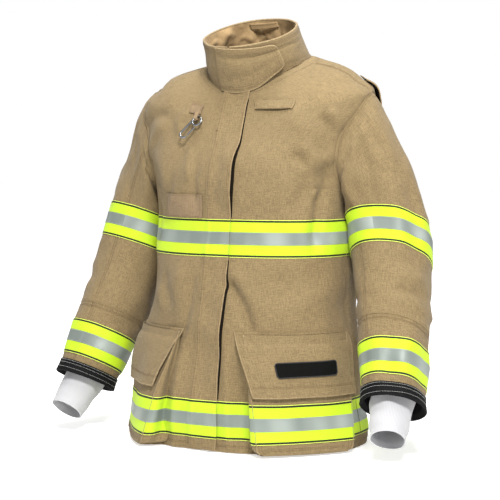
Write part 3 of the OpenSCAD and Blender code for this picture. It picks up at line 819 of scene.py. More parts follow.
def knit(name, color):
    """Ribbed knit of the wristlets."""
    n = Nodes(name)
    x, y = n.cloth_axes()
    rib = n.waves(x, 0.0032)
    loop = n.waves(y, 0.0022)
    fuzz = n.noise(x, y, 900, 900)
    base = srgb(*color)
    # The valleys between the ribs are painted darker: painted shade in the knit's recesses.
    color_out = n.mix(rib, shaded(base, 0.86), base)
    n.bump(n.plus(n.plus(rib, n.times(loop, 0.4)), fuzz), 0.35, 0.0006)
    n.finish(color_out, 0.9, 0.15)


def metal(name, color, rough):
    """Bare or plated metal with fine scratches; it works on pieces without cloth lengths as well."""
    n = Nodes(name)
    wear = n.noise_in_space(60.0, 4.0)
    base = srgb(*color)
    n.bump(n.noise_in_space(1400.0, 2.0), 0.08, 0.0002)
    n.finish(n.mix(n.times(wear, 0.5), base, shaded(base, 0.6)), n.scaled(wear, 0.3, rough - 0.15),
             metallic=1.0, specular=0.5)


def plain_cloth(name, color, scale=900.0):
    """Cloth or thread for pieces without cloth lengths."""
    n = Nodes(name)
    fuzz = n.noise_in_space(scale, 3.0)
    base = srgb(*color)
    n.bump(fuzz, 0.3, 0.0004)
    n.finish(n.mix(n.times(fuzz, 0.6), base, shaded(base, 0.7)), 0.85, 0.1)


woven("shell", (110, 94, 66), squares=0.0066)
woven("shell_patch", (115, 97, 73), pitch=0.0009, slub=0.3)
# The edge tubes' paler tan is a painted highlight along the rolled edges of the storm flap, throat tab,
# collar, pockets, their flaps and the back pleats.
woven("shell_edge", (122, 105, 77), pitch=0.0008)
woven("collar_lining", (146, 122, 87), slub=0.2, rough=0.8)
woven("liner", (176, 150, 108), pitch=0.0008, slub=0.10)
# Dark olive for the back pleats' underside: painted shade inside the open fold.
woven("liner_dark", (74, 66, 50), pitch=0.0010)
woven("membrane", (206, 200, 184), pitch=0.0007, slub=0.05, rough=0.6)
woven("black_cloth", (15, 15, 16), pitch=0.0012, slub=0.25, rough=0.8, sheen=0.0, shine=0.08)
# The near-black facing cloth is painted shade: it stands for the shadowed gap under the storm flap's free
# edge.
woven("facing", (22, 18, 12), pitch=0.0010, slub=0.2, sheen=0.0, shine=0.05)
woven("label_cloth", (11, 12, 11), pitch=0.0007, slub=0.2, rough=0.8, sheen=0.0, shine=0.05)
trim_fabric("lime", (157, 186, 20), 0.11)
trim_fabric("lime_edge", (196, 214, 84), 0.05)
# Near-black band along each edge of the tape: the dark stitching line, with painted shade of the sunken seam
# it lies in.
trim_fabric("stitch_line", (22, 28, 14), 0.0)
silver_tape("silver")
knit("knit", (160, 160, 163))
metal("steel", (128, 130, 132), 0.3)
metal("brass", (178, 142, 84), 0.4)
plain_cloth("thread_tan", (96, 76, 50))
plain_cloth("thread_dark", (40, 44, 28))
plain_cloth("thread_grey", (150, 152, 148))
plain_cloth("thread_black", (26, 26, 27))
plain_cloth("tape_plain", (52, 46, 38), scale=1500.0)

# ---------------------------------------------------------------- the trim tape

TRIM_W = 76.0
HEM_TRIM_H, CHEST_TRIM_H = 25.0, 387.0
# Strips across the tape: from, to, height over the cloth, material, steps
TRIM_STRIPS = (
    (0.0, 1.1, 0.9, "lime_edge", 1), (1.1, 5.0, 0.6, "stitch_line", 1), (5.0, 25.3, 1.1, "lime", 4),
    (25.3, 50.7, 1.6, "silver", 5), (50.7, 71.0, 1.1, "lime", 4), (71.0, 74.9, 0.6, "stitch_line", 1),
    (74.9, 76.0, 0.9, "lime_edge", 1),
)
# Rows of stitches on the tape: place across it, height, thread
TRIM_STITCHES = ((3.1, 0.6, "thread_dark"), (27.2, 1.6, "thread_grey"), (48.8, 1.6, "thread_grey"),
                 (72.9, 0.6, "thread_dark"))


def offset(p, off, side):
    """A grid of points moved off itself, along its own smooth normals."""
    return p + off * side * unit(np.cross(np.gradient(p, axis=1), np.gradient(p, axis=0)))


def trim_tape(piece, place, columns, wrap=False):
    """A length of trim; place(column, distance across the tape, height) gives points on the cloth."""
    across, heights, materials = [], [], []
    for low, high, height, material, steps in TRIM_STRIPS:
        places = np.linspace(low + 0.06, high - 0.06, steps + 1)
        materials += [material] * (len(places) if across else len(places) - 1)
        across += list(places)
        heights += [height] * len(places)
    a, w = grid(columns, across)
    high = np.array(heights)[:, None] + 0 * a
    piece.sheet(place(a, w, high), place(a, w, 0 * a + 0.1), None, wrap=wrap, row_materials=materials)
    a = np.append(columns, columns[0] + 360) if wrap else columns
    for w, height, thread in TRIM_STITCHES:
        row = place(a, w, 0 * a + height)
        piece.stitches(row, place(a, w, 0 * a + height + 1) - row, thread)


# ---------------------------------------------------------------- outer shell

SHELL_T = 1.6
FRONT_EDGE = 9.0
CELL = 4.6
SHELL_ROWS = np.linspace(0, NECK_H, int(NECK_H / CELL))
# Length of a degree round the body at the armhole, at the side seam and at the shoulder seam
MM_PER_DEGREE, SIDE_MM_PER_DEGREE, SHOULDER_MM_PER_DEGREE = 4.4, 4.6, 3.4
# Distances of the two rows of stitches from a seam, and their places along a front's hem and neck
SEAM_STITCHES = (4.0, 10.0)
HEM_RUN, NECK_RUN = np.linspace(0.02, 0.98, 90), np.linspace(0.05, 0.98, 50)


def lap(h):
    """1 where the side and shoulder seams are, 0 along the armhole."""
    far = np.abs(np.asarray(h, float) - ARMHOLE_H) - ARMHOLE_R
    return smooth(far / 12)


def front_u(side, k, h, start=FRONT_EDGE):
    return side * lerp(u_at(start, h), side_u(h), k)


def armhole_line(side, back, inset):
    """A line round the front or back half of an armhole, inset from its edge."""
    turn = np.linspace(-88, 88, 90)
    c, s = np.cos(np.radians(turn)), np.sin(np.radians(turn))
    u = side * (90 - (ARMHOLE_A + inset / MM_PER_DEGREE) * c * (-1 if back else 1))
    h = ARMHOLE_H + (ARMHOLE_R + inset * 0.4) * s
    return body_at(u, h, 0.05), body_out(u, h)


def seam_rows(piece, u, h, off=0.05):
    """Topstitching along a line given by angle and level on the body."""
    piece.stitches(body_at(u, h, off), body_out(u, h), "thread_tan")


def front_shell(side):
    piece = Piece(SIDE_NAME[side] + "_front_shell", "shell_fabric")
    k, h = grid(evenly(92), SHELL_ROWS)
    u = front_u(side, k, h)
    turned = smooth((k - 0.975) / 0.02) * lerp(1.7, 0.7, lap(h)) - 0.6 * hump(k, 0.955, 0.01)
    piece.sheet(body_at(u, h, turned), body_at(u, h, -SHELL_T), "shell")
    for inset in SEAM_STITCHES:
        piece.stitches(*armhole_line(side, False, inset), "thread_tan")
        low = np.linspace(4, ARMHOLE_H - ARMHOLE_R - 8, 90)
        seam_rows(piece, side * (90 - inset / SIDE_MM_PER_DEGREE), low, 0.7)
        high = np.linspace(ARMHOLE_H + ARMHOLE_R + 10, NECK_H - 6, 30)
        seam_rows(piece, side * (90 - inset / SHOULDER_MM_PER_DEGREE), high, 0.7)
    for level, k in ((14.0, HEM_RUN), (11.0, HEM_RUN), (NECK_H - 5, NECK_RUN)):
        seam_rows(piece, front_u(side, k, level), level)
    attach(piece.build(piece.name), "body")


def back_shell():
    piece = Piece("back_shell", "shell_fabric")
    k, h = grid(evenly(170), SHELL_ROWS)
    reach = side_u(h) + 3.0 * lap(h)
    u = 180 + reach * (2 * k - 1)
    tuck = -2.0 * lap(h) * smooth((np.abs(2 * k - 1) - 0.93) / 0.04)
    piece.sheet(body_at(u, h, tuck), body_at(u, h, tuck - SHELL_T), "shell")
    for side in (LEFT, RIGHT):
        for inset in SEAM_STITCHES:
            piece.stitches(*armhole_line(side, True, inset), "thread_tan")
    for level in (11.0, 14.0, NECK_H - 5):
        seam_rows(piece, np.linspace(94, 266, 180), level)
    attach(piece.build(piece.name), "body")


# Where the front trims start beside the storm flap
TRIM_START = {LEFT: 18.0, RIGHT: 33.0}


def body_trims():
    for name, low in (("chest", CHEST_TRIM_H), ("hem", HEM_TRIM_H)):
        for side in (LEFT, RIGHT):
            piece = Piece(f"{name}_trim_{SIDE_NAME[side]}", "trim")

            def on_front(k, w, off):
                return body_at(front_u(side, k, low + w, TRIM_START[side]), low + w, off)

            trim_tape(piece, on_front, evenly(84))
            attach(piece.build(piece.name), "body")
        piece = Piece(f"{name}_trim_back", "trim")
        trim_tape(piece, lambda k, w, off: body_at(180 + 89.4 * (2 * k - 1), low + w, off), evenly(150))
        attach(piece.build(piece.name), "body")


# Size of the liner's quilted squares, gap between layers, and level of the layers' lower edge
QUILT, LAYER_GAP, LAYER_LOW = 42.0, 0.3, 16.0


def inner_layer(name, slot, depth, thick, material, quilt, start=30.0):
    """A layer inside the shell, quilted where quilt is its height; start is where its fronts begin."""
    piece = Piece(name, slot)

    def panel(u, h):
        p = body(u, h)
        a, b = p[..., 0] + p[..., 2], p[..., 0] - p[..., 2]
        puff = quilt * np.abs(np.sin(a * math.pi / QUILT) * np.sin(b * math.pi / QUILT))
        sides = [body_at(u, h, -depth - LAYER_GAP - inwards) for inwards in (0.0, thick + puff)]
        for points in sides:
            points[..., 2] = np.maximum(points[..., 2], LAYER_LOW)
        piece.sheet(*sides, material)

    rows = np.linspace(LAYER_LOW + 2, NECK_H - 8, 110)
    for side in (LEFT, RIGHT):
        k, h = grid(evenly(48), rows)
        panel(front_u(side, k, h, start), h)
    k, h = grid(evenly(92), rows)
    panel(180 + side_u(h) * (2 * k - 1), h)
    made = piece.build(name)
    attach(made, "body")
    return made


# ---------------------------------------------------------------- storm flap and throat tab

FLAP_TOP = 783.0
FLAP_T = 2.4
# Free edge and sewn edge of the storm flap, and how far its free edge stands off, by level
FLAP_FREE = ((0, 24), (232, 21), (383, 24), (463, 24), (565, 28), (635, 32), (751, 28), (782, 29))
FLAP_SEWN = ((0, 40), (120, 39), (430, 33), (560, 32), (776, 30))
FLAP_LIFT = ((0, 4), (60, 2), (150, 5), (240, 7), (340, 4), (390, 1), (465, 1.5), (520, 8), (590, 6),
             (660, 1), (776, 0))
# How far the near-black sheet under the storm flap, painted shade of the gap beneath the flap's free edge,
# shows past that edge, by level
GAP_SHADE_OUT = ((104, 1.0), (150, 2.6), (250, 3.6), (330, 3.2), (383, 1.6), (386, -4), (464, -4), (467, 2.0),
              (520, 3.8), (580, 3.6), (640, 2.8), (720, 2.6), (768, 2.2))
# Reach of the flap's trims from its sewn edge, as parts of its width
FLAP_TRIM = np.linspace(0.006, 1.026, 26)
# Levels of the cross stitches that hold the flap down
FLAP_TACKS = (682, 683.2, 684.4, 300, 301.2, 302.4)
# Rows of stitches down the flap, as parts of its width
FLAP_STITCHES = (0.9, 0.96, 0.10, 0.19)


def flap_place(k, h, off):
    """A place on the storm flap: k runs from its sewn edge to its free edge."""
    k, h = pair(k, h)
    x = lerp(-by_level(FLAP_SEWN, h), by_level(FLAP_FREE, h), k)
    u = u_at(x, h)
    roll = 1.5 * np.sin(math.pi * np.clip((k - 0.04) / 0.2, 0, 1)) + 0.5 * ripple(body(u, h), 60, 31)
    lift = 3.6 + roll * smooth(k / 0.1) + by_level(FLAP_LIFT, h) * smooth((k - 0.35) / 0.65)
    return body_at(u, h, lift + off)


def storm_flap():
    piece = Piece("storm_flap", "shell_fabric")
    levels = np.linspace(1.5, FLAP_TOP, 190)
    k, h = grid(evenly(26), levels)
    piece.sheet(flap_place(k, h, 0), flap_place(k, h, -FLAP_T), "shell")
    h = levels
    piece.tube(flap_place(1.0, h, -FLAP_T / 2 + 0.1), 1.3, "shell_edge")
    out = body_out(u_at(0, h), h)
    for k in FLAP_STITCHES:
        piece.stitches(flap_place(k, h, 0.02), out, "thread_tan")
    tack = np.linspace(0.03, 0.12, 8)
    for level in FLAP_TACKS:
        piece.stitches(flap_place(tack, level, 0.3), body_out(0, level), "thread_tan", pitch=1.6, length=1.5)
    made = piece.build("storm_flap", "storm_flap_top")
    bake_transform(made)
    # A near-black sheet under the flap's free edge: painted shade of the gap there.
    piece = Piece("flap_gap_shade", "hook_and_loop")
    k, h = grid(evenly(8), np.linspace(104, 768, 140))
    free = by_level(FLAP_FREE, h)
    u = u_at(lerp(free - 12, free + by_level(GAP_SHADE_OUT, h), k), h)
    piece.sheet(body_at(u, h, 1.3), body_at(u, h, 0.3), "facing")
    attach(piece.build(), "body")
    for name, low in (("flap_chest_trim", CHEST_TRIM_H), ("flap_hem_trim", HEM_TRIM_H)):
        piece = Piece(name, "trim")
        trim_tape(piece, lambda k, w, off: flap_place(k, low + w, off), FLAP_TRIM)
        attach(piece.build(name), "storm_flap")


TAB_FROM, TAB_TO = -17.0, 54.5
TAB_CORNER, TAB_T = 0.13, 2.4


def tab_place(k, j, off):
    """A place on the throat tab: k runs from its root to its free end and j from its lower edge up."""
    k, j = pair(k, j)
    u = lerp(TAB_FROM, TAB_TO, k)
    high = lerp(0.98, 0.88, smooth(k))
    low = 0.02 + 0.13 * smooth((k - 0.5) / 0.5)
    inward = np.clip((k - 1 + TAB_CORNER) / TAB_CORNER, 0, 1)
    corner = 0.13 * (1 - np.sqrt(1 - inward**2))
    v = lerp(low + corner, high - corner, j)
    lift = 4.2 + 1.8 * arch(k) + 5.5 * smooth((k - 0.55) / 0.45)
    crease = -3.2 * hump(v, high - 0.20, 0.05) * arch(k) ** 0.5
    crease = crease - 2.2 * hump(v, 0.26 + 0.2 * k, 0.09) * arch(k)
    return collar_at(u, v, lift + crease + off)


def throat_tab():
    piece = Piece("throat_tab", "shell_fabric")
    k, j = grid(evenly(60), evenly(26))
    piece.sheet(tab_place(k, j, 0), tab_place(k, j, -TAB_T), "shell")
    ks, js = evenly(60), evenly(24)[1:-1]
    edge = np.concatenate([tab_place(ks, 0, -1.1), tab_place(1, js, -1.1), tab_place(ks[::-1], 1, -1.1)])
    piece.tube(edge, 1.8, "shell_edge")
    for inset in (0.07, 0.12):
        end = 1 - inset * 0.75
        ks = np.linspace(0.02, end, 50)
        js = np.linspace(inset, 1 - inset, 20)
        line = np.concatenate([tab_place(ks, inset, 0.02), tab_place(end, js, 0.02),
                               tab_place(ks[::-1], 1 - inset, 0.02)])
        piece.stitches(line, collar_out(20.0, 0.5), "thread_tan")
    made = piece.build("throat_tab")
    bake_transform(made)


# ---------------------------------------------------------------- collar

COLLAR_T = 2.0


def collar_shell():
    piece = Piece("collar_shell", "shell_fabric")
    u, v = grid(np.linspace(1.6, 358.4, 150), np.linspace(0.0, 0.985, 24))
    skirt = 1.4 * smooth((0.1 - v) / 0.1)
    piece.sheet(collar_at(u, v, skirt), collar_at(u, v, -COLLAR_T), "shell")
    turn = np.linspace(1.6, 358.4, 170)
    piece.tube(collar_at(turn, 0.985, -COLLAR_T - 0.3), 2.5, "shell_edge")
    for v in (0.05, 0.86, 0.91):
        piece.stitches(collar_at(turn, v, 0.1 if v > 0.1 else 1.0), collar_out(turn, 0.5), "thread_tan")
    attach(piece.build("collar_shell"), "body")


def collar_lining():
    piece = Piece("collar_lining", "shell_fabric")
    u, v = grid(np.linspace(2, 358, 190), np.linspace(0.03, 0.975, 34))
    p = collar(u, v)
    fine = np.maximum(ripple(p, 26, 41), -0.4) * 1.6
    pucker = fine + np.maximum(ripple(p * [1, 1, 0.35], 34, 42), 0) * 6.5
    deep = -COLLAR_T - 0.9 - (pucker + 1.5) * arch(v) ** 0.7
    piece.sheet(collar_at(u, v, deep), collar_at(u, v, deep - 1.4), "collar_lining")
    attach(piece.build("collar_lining"), "body")


def hanger_loop():
    piece = Piece("hanger_loop", "shell_fabric")

    def place(k, v, off):
        return collar_at(lerp(171.0, 209.0, k), v, -(2 * COLLAR_T + off + 9 * arch(k) ** 0.6))

    k, v = grid(evenly(26), np.linspace(0.80, 0.945, 8))
    piece.sheet(place(k, v, 2.2), place(k, v, 4.2), "collar_lining")
    for v in (0.81, 0.91):
        piece.stitches(place(np.linspace(0.02, 0.98, 30), v, 4.3), -collar_out(190.0, 0.5), "thread_tan")
    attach(piece.build("hanger_loop"), "body")


# ---------------------------------------------------------------- sleeves

# Places down the arm: ends of the upper sleeve and sleeve, cross seam, and lower edges of the trims
UPPER_END, LOWER_START, SEAM_T, SLEEVE_END = 2.40, 2.36, 3.50, 4.92
UPPER_TRIM, FOREARM_TRIM = 2.45, 4.46
ARM_SEAM = {LEFT: -28.0, RIGHT: 3.0}
MM_PER_T = 130.0
ARM_COLUMNS = 116
# Rows and columns of the table that keeps a sleeve's tape at its full width, and the columns' spacing
TAPE_ROWS, TAPE_COLUMNS, TAPE_TURN = 20, 61, 6.0


def follow(made):
    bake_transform(made)


def follow_arm(made):
    follow(made)


def follow_elbow(made):
    follow(made)


def arm_columns(count):
    return np.linspace(0, 360, count, endpoint=False)


ALL_ROUND = np.linspace(0, 360, 150)


def arm_rows(piece, psi, t, side):
    """Topstitching along a line on a sleeve."""
    line = arm_at(psi, t, 0.05, side)
    piece.stitches(line, arm_at(psi, t, 1.05, side) - line, "thread_tan")


def arm_seam(psi, t, side):
    """Groove of the sleeve's long seam, and of the seam below the elbow."""
    gap = (psi - ARM_SEAM[side] + 180) % 360 - 180
    long_seam = -0.9 * hump(gap, 0, 1.6) * smooth((t - 0.1) / 0.3)
    below = (t - SEAM_T) * MM_PER_T
    return long_seam - 1.5 * hump(below, 0, 2.4) + 0.8 * hump(below, -8, 5)


def tape_round_arm(low, side):
    """Gives the place function of a tape whose lower edge is at low, with its full width all round."""
    turns = TAPE_TURN * np.arange(TAPE_COLUMNS)
    up = np.linspace(low, low - 1.3, 53)
    run = arm_at(turns[None], up[:, None], 0, side)
    run = np.linalg.norm(np.diff(run, axis=0), axis=-1)
    run = np.concatenate([np.zeros((1, TAPE_COLUMNS)), np.cumsum(run, 0)])
    across = np.linspace(0, TRIM_W, TAPE_ROWS)
    table = np.stack([np.interp(across, run[:, i], up) for i in range(TAPE_COLUMNS)], 1)

    def place(psi, w, off):
        psi, w = pair(psi, w)
        i, j = w / TRIM_W * (TAPE_ROWS - 1), psi % 360 / TAPE_TURN
        i0 = np.clip(i.astype(int), 0, TAPE_ROWS - 2)
        j0 = np.clip(j.astype(int), 0, TAPE_COLUMNS - 2)
        near = lerp(table[i0, j0], table[i0, j0 + 1], j - j0)
        far = lerp(table[i0 + 1, j0], table[i0 + 1, j0 + 1], j - j0)
        return arm_at(psi, lerp(near, far, i - i0), off + 0.4, side)

    return place


def sleeve_part(side, part, nodes, start, end):
    piece = Piece(f"{SIDE_NAME[side]}_{part}", "shell_fabric")
    psi, t = grid(arm_columns(ARM_COLUMNS), np.linspace(start, end, 74))
    seam = arm_seam(psi, t, side)
    piece.sheet(arm_at(psi, t, seam, side), arm_at(psi, t, seam - SHELL_T, side), "shell", wrap=True)
    for gap in (-2.2, 2.2):
        arm_rows(piece, ARM_SEAM[side] + gap, np.linspace(max(start, 0.25), end, 80), side)
    for level in (0.06,) if start == 0 else (SEAM_T - 0.024, SEAM_T + 0.024, SEAM_T + 0.045):
        arm_rows(piece, ALL_ROUND, level, side)
    return piece.build(*(f"{SIDE_NAME[side]}_{node}" for node in nodes))


def sleeve_trim(side, part, low):
    piece = Piece(f"{SIDE_NAME[side]}_{part}", "trim")
    trim_tape(piece, tape_round_arm(low, side), arm_columns(ARM_COLUMNS), wrap=True)
    return piece.build(piece.name)


def sleeve(side):
    name = SIDE_NAME[side]
    follow_arm(sleeve_part(side, "upper_sleeve", ("upper_sleeve",), 0.0, UPPER_END))
    follow_elbow(sleeve_part(side, "lower_sleeve", ("elbow", "forearm"), LOWER_START, SLEEVE_END))
    follow_arm(sleeve_trim(side, "upper_trim", UPPER_TRIM))
    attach(sleeve_trim(side, "forearm_trim", FOREARM_TRIM), name + "_forearm")
    piece = Piece(f"{name}_sleeve_lining", "lining_fabric")
    psi, t = grid(arm_columns(64), np.linspace(0.5, 2.5, 34))
    piece.sheet(arm_at(psi, t, -6.5, side), arm_at(psi, t, -8.6, side), "liner", wrap=True)
    follow_arm(piece.build(piece.name))


# Places down the arm: the cuff's edges and rows of stitches, and where its lining starts
CUFF_FROM, CUFF_END = 4.64, 5.0
CUFF_STITCHES = (4.66, 4.74, 4.90)
CUFF_LINING_FROM = 3.65
# How far the cuff stands off the sleeve at its upper edge, how much more at its end, and its thickness
CUFF_OFF, CUFF_SWELL, CUFF_T = 2.3, 2.2, 1.6


def cuff(side):
    name = SIDE_NAME[side]
    piece = Piece(name + "_cuff", "black_fabric")

    def place(psi, t, off):
        swell = CUFF_SWELL * smooth((t - CUFF_FROM) / (CUFF_END - CUFF_FROM))
        return arm_at(psi, t, swell + off, side)

    psi, t = grid(arm_columns(110), np.linspace(CUFF_FROM, CUFF_END, 12))
    piece.sheet(place(psi, t, CUFF_OFF), place(psi, t, CUFF_OFF - CUFF_T), "black_cloth", wrap=True)
    piece.tube(place(arm_columns(110), CUFF_END, 1.4), 1.8, "black_cloth", closed=True)
    piece.tube(place(arm_columns(110), CUFF_FROM, 1.5), 1.1, "black_cloth", closed=True)
    for t in CUFF_STITCHES:
        line = place(ALL_ROUND, t, CUFF_OFF + 0.1)
        piece.stitches(line, place(ALL_ROUND, t, CUFF_OFF + 1.1) - line, "thread_grey")
    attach(piece.build(piece.name), name + "_forearm")
    piece = Piece(name + "_cuff_lining", "black_fabric")
    psi, t = grid(arm_columns(80), np.linspace(CUFF_LINING_FROM, CUFF_END, 34))
    inset = -3.8 - 6.0 * smooth((4.95 - t) / 0.5) + 6.6 * smooth((t - 4.91) / 0.08)
    piece.sheet(arm_at(psi, t, inset, side), arm_at(psi, t, inset - CUFF_T, side), "black_cloth", wrap=True)
    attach(piece.build(piece.name), name + "_forearm")


# Knitted wristlet: x, y, z and radius from the hand up, for the wearer's left
WRISTLET = ((374, -133 + SHIFT_Y, 46, 35), (360, -82 + SHIFT_Y, 106, 43), (356, -63 + SHIFT_Y, 132, 46))
WRISTLET_T = 2.0


def wristlet(side):
    piece = Piece(SIDE_NAME[side] + "_wristlet", "knit")
    *centre, radius = along(WRISTLET, 40)
    centre = np.stack(centre, 1)
    axis = unit(centre[-1] - centre[0])
    lateral = unit(np.array([1.0, 0, 0]) - axis[0] * axis)
    front = np.cross(axis, lateral)
    turn = np.radians(arm_columns(96))
    spoke = -np.cos(turn)[None, :, None] * front + np.sin(turn)[None, :, None] * lateral
    k = np.linspace(0, 2, 40)
    hem = 1.1 * hump(k, 0.02, 0.03) - 0.8 * hump(k, 0.16, 0.05)
    plain = centre[:, None] + radius[:, None, None] * spoke
    radius = (radius + hem)[:, None] + 0.9 * ripple(plain, 45, 51 + side)
    outer = mirrored(centre[:, None] + radius[..., None] * spoke, side)
    inner = mirrored(centre[:, None] + (radius - WRISTLET_T)[..., None] * spoke, side)
    piece.sheet(outer, inner, "knit", wrap=True)
    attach(piece.build(piece.name), SIDE_NAME[side] + "_forearm")


# ---------------------------------------------------------------- pockets, their flaps and the label

POCKET_T = 1.6
GUSSET_ROOT = 1.8
CORNER_R = 12.0
FLAP_LOW, FLAP_HIGH = 115.0, 240.0
FLAP_HALF, FLAP_SHIFT = 114.5, -3.0
# How far the front of each pocket stands out beyond its plain shape at the bottom inner and outer corners
STAND = {LEFT: (2.0, 0.0), RIGHT: (9.0, -9.0)}
# How much higher the lower edge of each pocket flap is
FLAP_RAISED = {LEFT: 0.0, RIGHT: 8.0}
# How far the lower edge of each pocket flap stands off, at its inner and outer corners
FLAP_STAND = {LEFT: (5.0, 2.0), RIGHT: (7.0, 5.0)}
# How far the inner edge of each pocket flap is cut back, at its top and at its lower edge
FLAP_INSET = {LEFT: (0.0, 17.0), RIGHT: (14.0, 22.0)}


def stand_out(s, z, side):
    """Extra depth of a pocket's bellows, none at its mouth."""
    inner, outer = STAND[side]
    k = np.clip((POCKET_HIGH - z) / POCKET_H, 0, 1)
    return lerp(inner, outer, smooth(s / POCKET_W + 0.5)) * smooth(k * 1.3)


def pocket_wall(c, z, side):
    """The pocket's bag: c from -1 to 0 is the inner bellows, 0 to 1 the front, 1 to 2 the outer bellows."""
    c, z = pair(c, z)
    drop = np.clip(POCKET_LOW + CORNER_R - z, 0, CORNER_R)
    half = POCKET_W / 2 - CORNER_R + np.sqrt(CORNER_R**2 - drop**2)
    s = (np.clip(c, 0, 1) * 2 - 1) * half
    front = pocket_face(s, z, 0) + stand_out(s, z, side)[..., None] * POCKET_OUT
    root = pocket_root(s, z, GUSSET_ROOT)
    g = np.where(c < 0, c + 1, np.where(c > 1, 2 - c, 1))
    p = lerp(root, front, g[..., None])
    depth = np.linalg.norm(front - root, axis=-1)
    pleat = 0.16 * depth * np.sin(2 * math.pi * g) * smooth((z - POCKET_LOW) / 20) * (g < 1)
    toward = np.where(c < 0, 1.0, -1.0)
    return mirrored(p + (pleat * toward)[..., None] * POCKET_ALONG, side)


# Columns across the bag, and how far its floor reaches in and hangs down
FLOOR_REACH, FLOOR_SAG = 0.92, 3.5
WALL_COLUMNS = np.concatenate([np.linspace(-1, -0.04, 12), evenly(52), np.linspace(1.04, 2, 12)])


def pocket(side):
    name = SIDE_NAME[side]
    piece = Piece(name + "_pocket", "shell_fabric")
    c, z = grid(WALL_COLUMNS, np.linspace(POCKET_LOW, POCKET_HIGH, 56))
    wall = pocket_wall(c, z, side)
    steps = np.linspace(0, FLOOR_REACH, 6)[:, None, None]
    across = (np.clip(WALL_COLUMNS, 0, 1) * 2 - 1) * (POCKET_W / 2 - CORNER_R)
    root = mirrored(pocket_root(across, POCKET_LOW, GUSSET_ROOT), side)
    floor = lerp(root[None], wall[:1], steps)
    floor[..., 2] = POCKET_LOW - FLOOR_SAG * arch(steps[..., 0] ** 0.8) ** 0.5
    bag = np.concatenate([floor, wall])
    piece.sheet(bag, offset(bag, -POCKET_T, side), "shell")
    out = mirrored(POCKET_OUT, side)
    z = np.linspace(POCKET_LOW + 2, POCKET_HIGH, 60)
    for c in (0.0, 1.0):
        edge = pocket_wall(c, z, side)
        piece.tube(edge, 1.3, "shell_edge")
        for inset in (0.022, 0.05):
            piece.stitches(pocket_wall(abs(c - inset), z, side) + 0.1 * out, out, "thread_tan")
    c = np.linspace(0.04, 0.96, 50)
    for level in (POCKET_LOW + 8, POCKET_LOW + 11):
        piece.stitches(pocket_wall(c, level, side) + 0.1 * out, out, "thread_tan")
    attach(piece.build(piece.name), "body")

    piece = Piece(name + "_pocket_trim", "trim")

    def place(c, w, off):
        c, w = pair(c, w)
        p = pocket_wall(c, HEM_TRIM_H + w, side)
        out = unit(np.where((c < 0)[..., None], -POCKET_ALONG, np.where((c > 1)[..., None], POCKET_ALONG, 0))
                   + np.where(((c > -0.3) & (c < 1.3))[..., None], 1.0, 0.0) * POCKET_OUT)
        return p + (off + 0.3)[..., None] * mirrored(out, side)

    bellows = np.linspace(-0.97, -0.06, 10)
    trim_tape(piece, place, np.concatenate([bellows, evenly(50), 1 - bellows[::-1]]))
    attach(piece.build(piece.name), "body")


def flap_sheet(k, j, side, off=0.0):
    """A place on a pocket flap: k runs outwards from its inner edge and j up from its lower edge."""
    k, j = pair(k, j)
    z = lerp(FLAP_LOW + FLAP_RAISED[side], FLAP_HIGH, j)
    top_inset, low_inset = FLAP_INSET[side]
    inset = lerp(top_inset, low_inset, (1 - j) ** 1.2)
    s = lerp(FLAP_SHIFT - FLAP_HALF + inset, FLAP_SHIFT + FLAP_HALF, k)
    inner, outer = FLAP_STAND[side]
    low = (1 - j) ** 1.3
    rise = 3.8 + lerp(inner, outer, smooth(k)) * low + off
    rise = rise + 1.2 * ripple(np.stack([s, z, 0 * s + side * 90], -1), 80, 61) * smooth((1 - j) / 0.4)
    out = rise + stand_out(s, z, side)
    p = pocket_face(s, np.minimum(z, POCKET_HIGH + 6), 0) + out[..., None] * POCKET_OUT
    sewn = smooth((j - 0.72) / 0.26)
    return mirrored(lerp(p, pocket_root(s, z, 3.0 + off), sewn[..., None]), side)


PFLAP_T = 2.6
# Where a lifting flap would stay, and where it would lift fully: place across the pocket and level
FLAP_FOLD = ((40.0, 236.0), (-40.0, 170.0))
# Rows of stitches on a pocket flap, up it and across it
PFLAP_ROWS, PFLAP_COLUMNS = (0.15, 0.17, 0.935, 0.965), (0.03, 0.97)


def follow_flap(made):
    """Bakes the flap's placement into its mesh. It works out the places in FLAP_FOLD but lifts no part of
    the flap; the sleeve hangs over the flap's outer upper corner.
    """
    for s, z in FLAP_FOLD:
        at = body(POCKET_U, z) + s * POCKET_ALONG
    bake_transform(made)


def pocket_flap(side):
    piece = Piece(SIDE_NAME[side] + "_pocket_flap", "shell_fabric")
    k, j = grid(evenly(62), evenly(36))
    piece.sheet(flap_sheet(k, j, side), flap_sheet(k, j, side, -PFLAP_T), "shell")
    out = mirrored(POCKET_OUT, side)
    js, ks, middle = evenly(36), evenly(62), -1.2
    edge = np.concatenate([flap_sheet(0, js[::-1], side, middle), flap_sheet(ks[1:-1], 0, side, middle),
                           flap_sheet(1, js, side, middle)])
    piece.tube(edge, 1.5, "shell_edge")
    for j in PFLAP_ROWS:
        piece.stitches(flap_sheet(np.linspace(0.02, 0.98, 60), j, side, 0.05), out, "thread_tan")
    for k in PFLAP_COLUMNS:
        piece.stitches(flap_sheet(k, js[1:-1], side, 0.05), out, "thread_tan")
    made = piece.build(piece.name)
    follow_flap(made)


# Reach of the label across the flap and up it, and how much its corners are rounded
LABEL_K, LABEL_J, LABEL_CORNER = (0.245, 0.80), (0.315, 0.54), 0.16


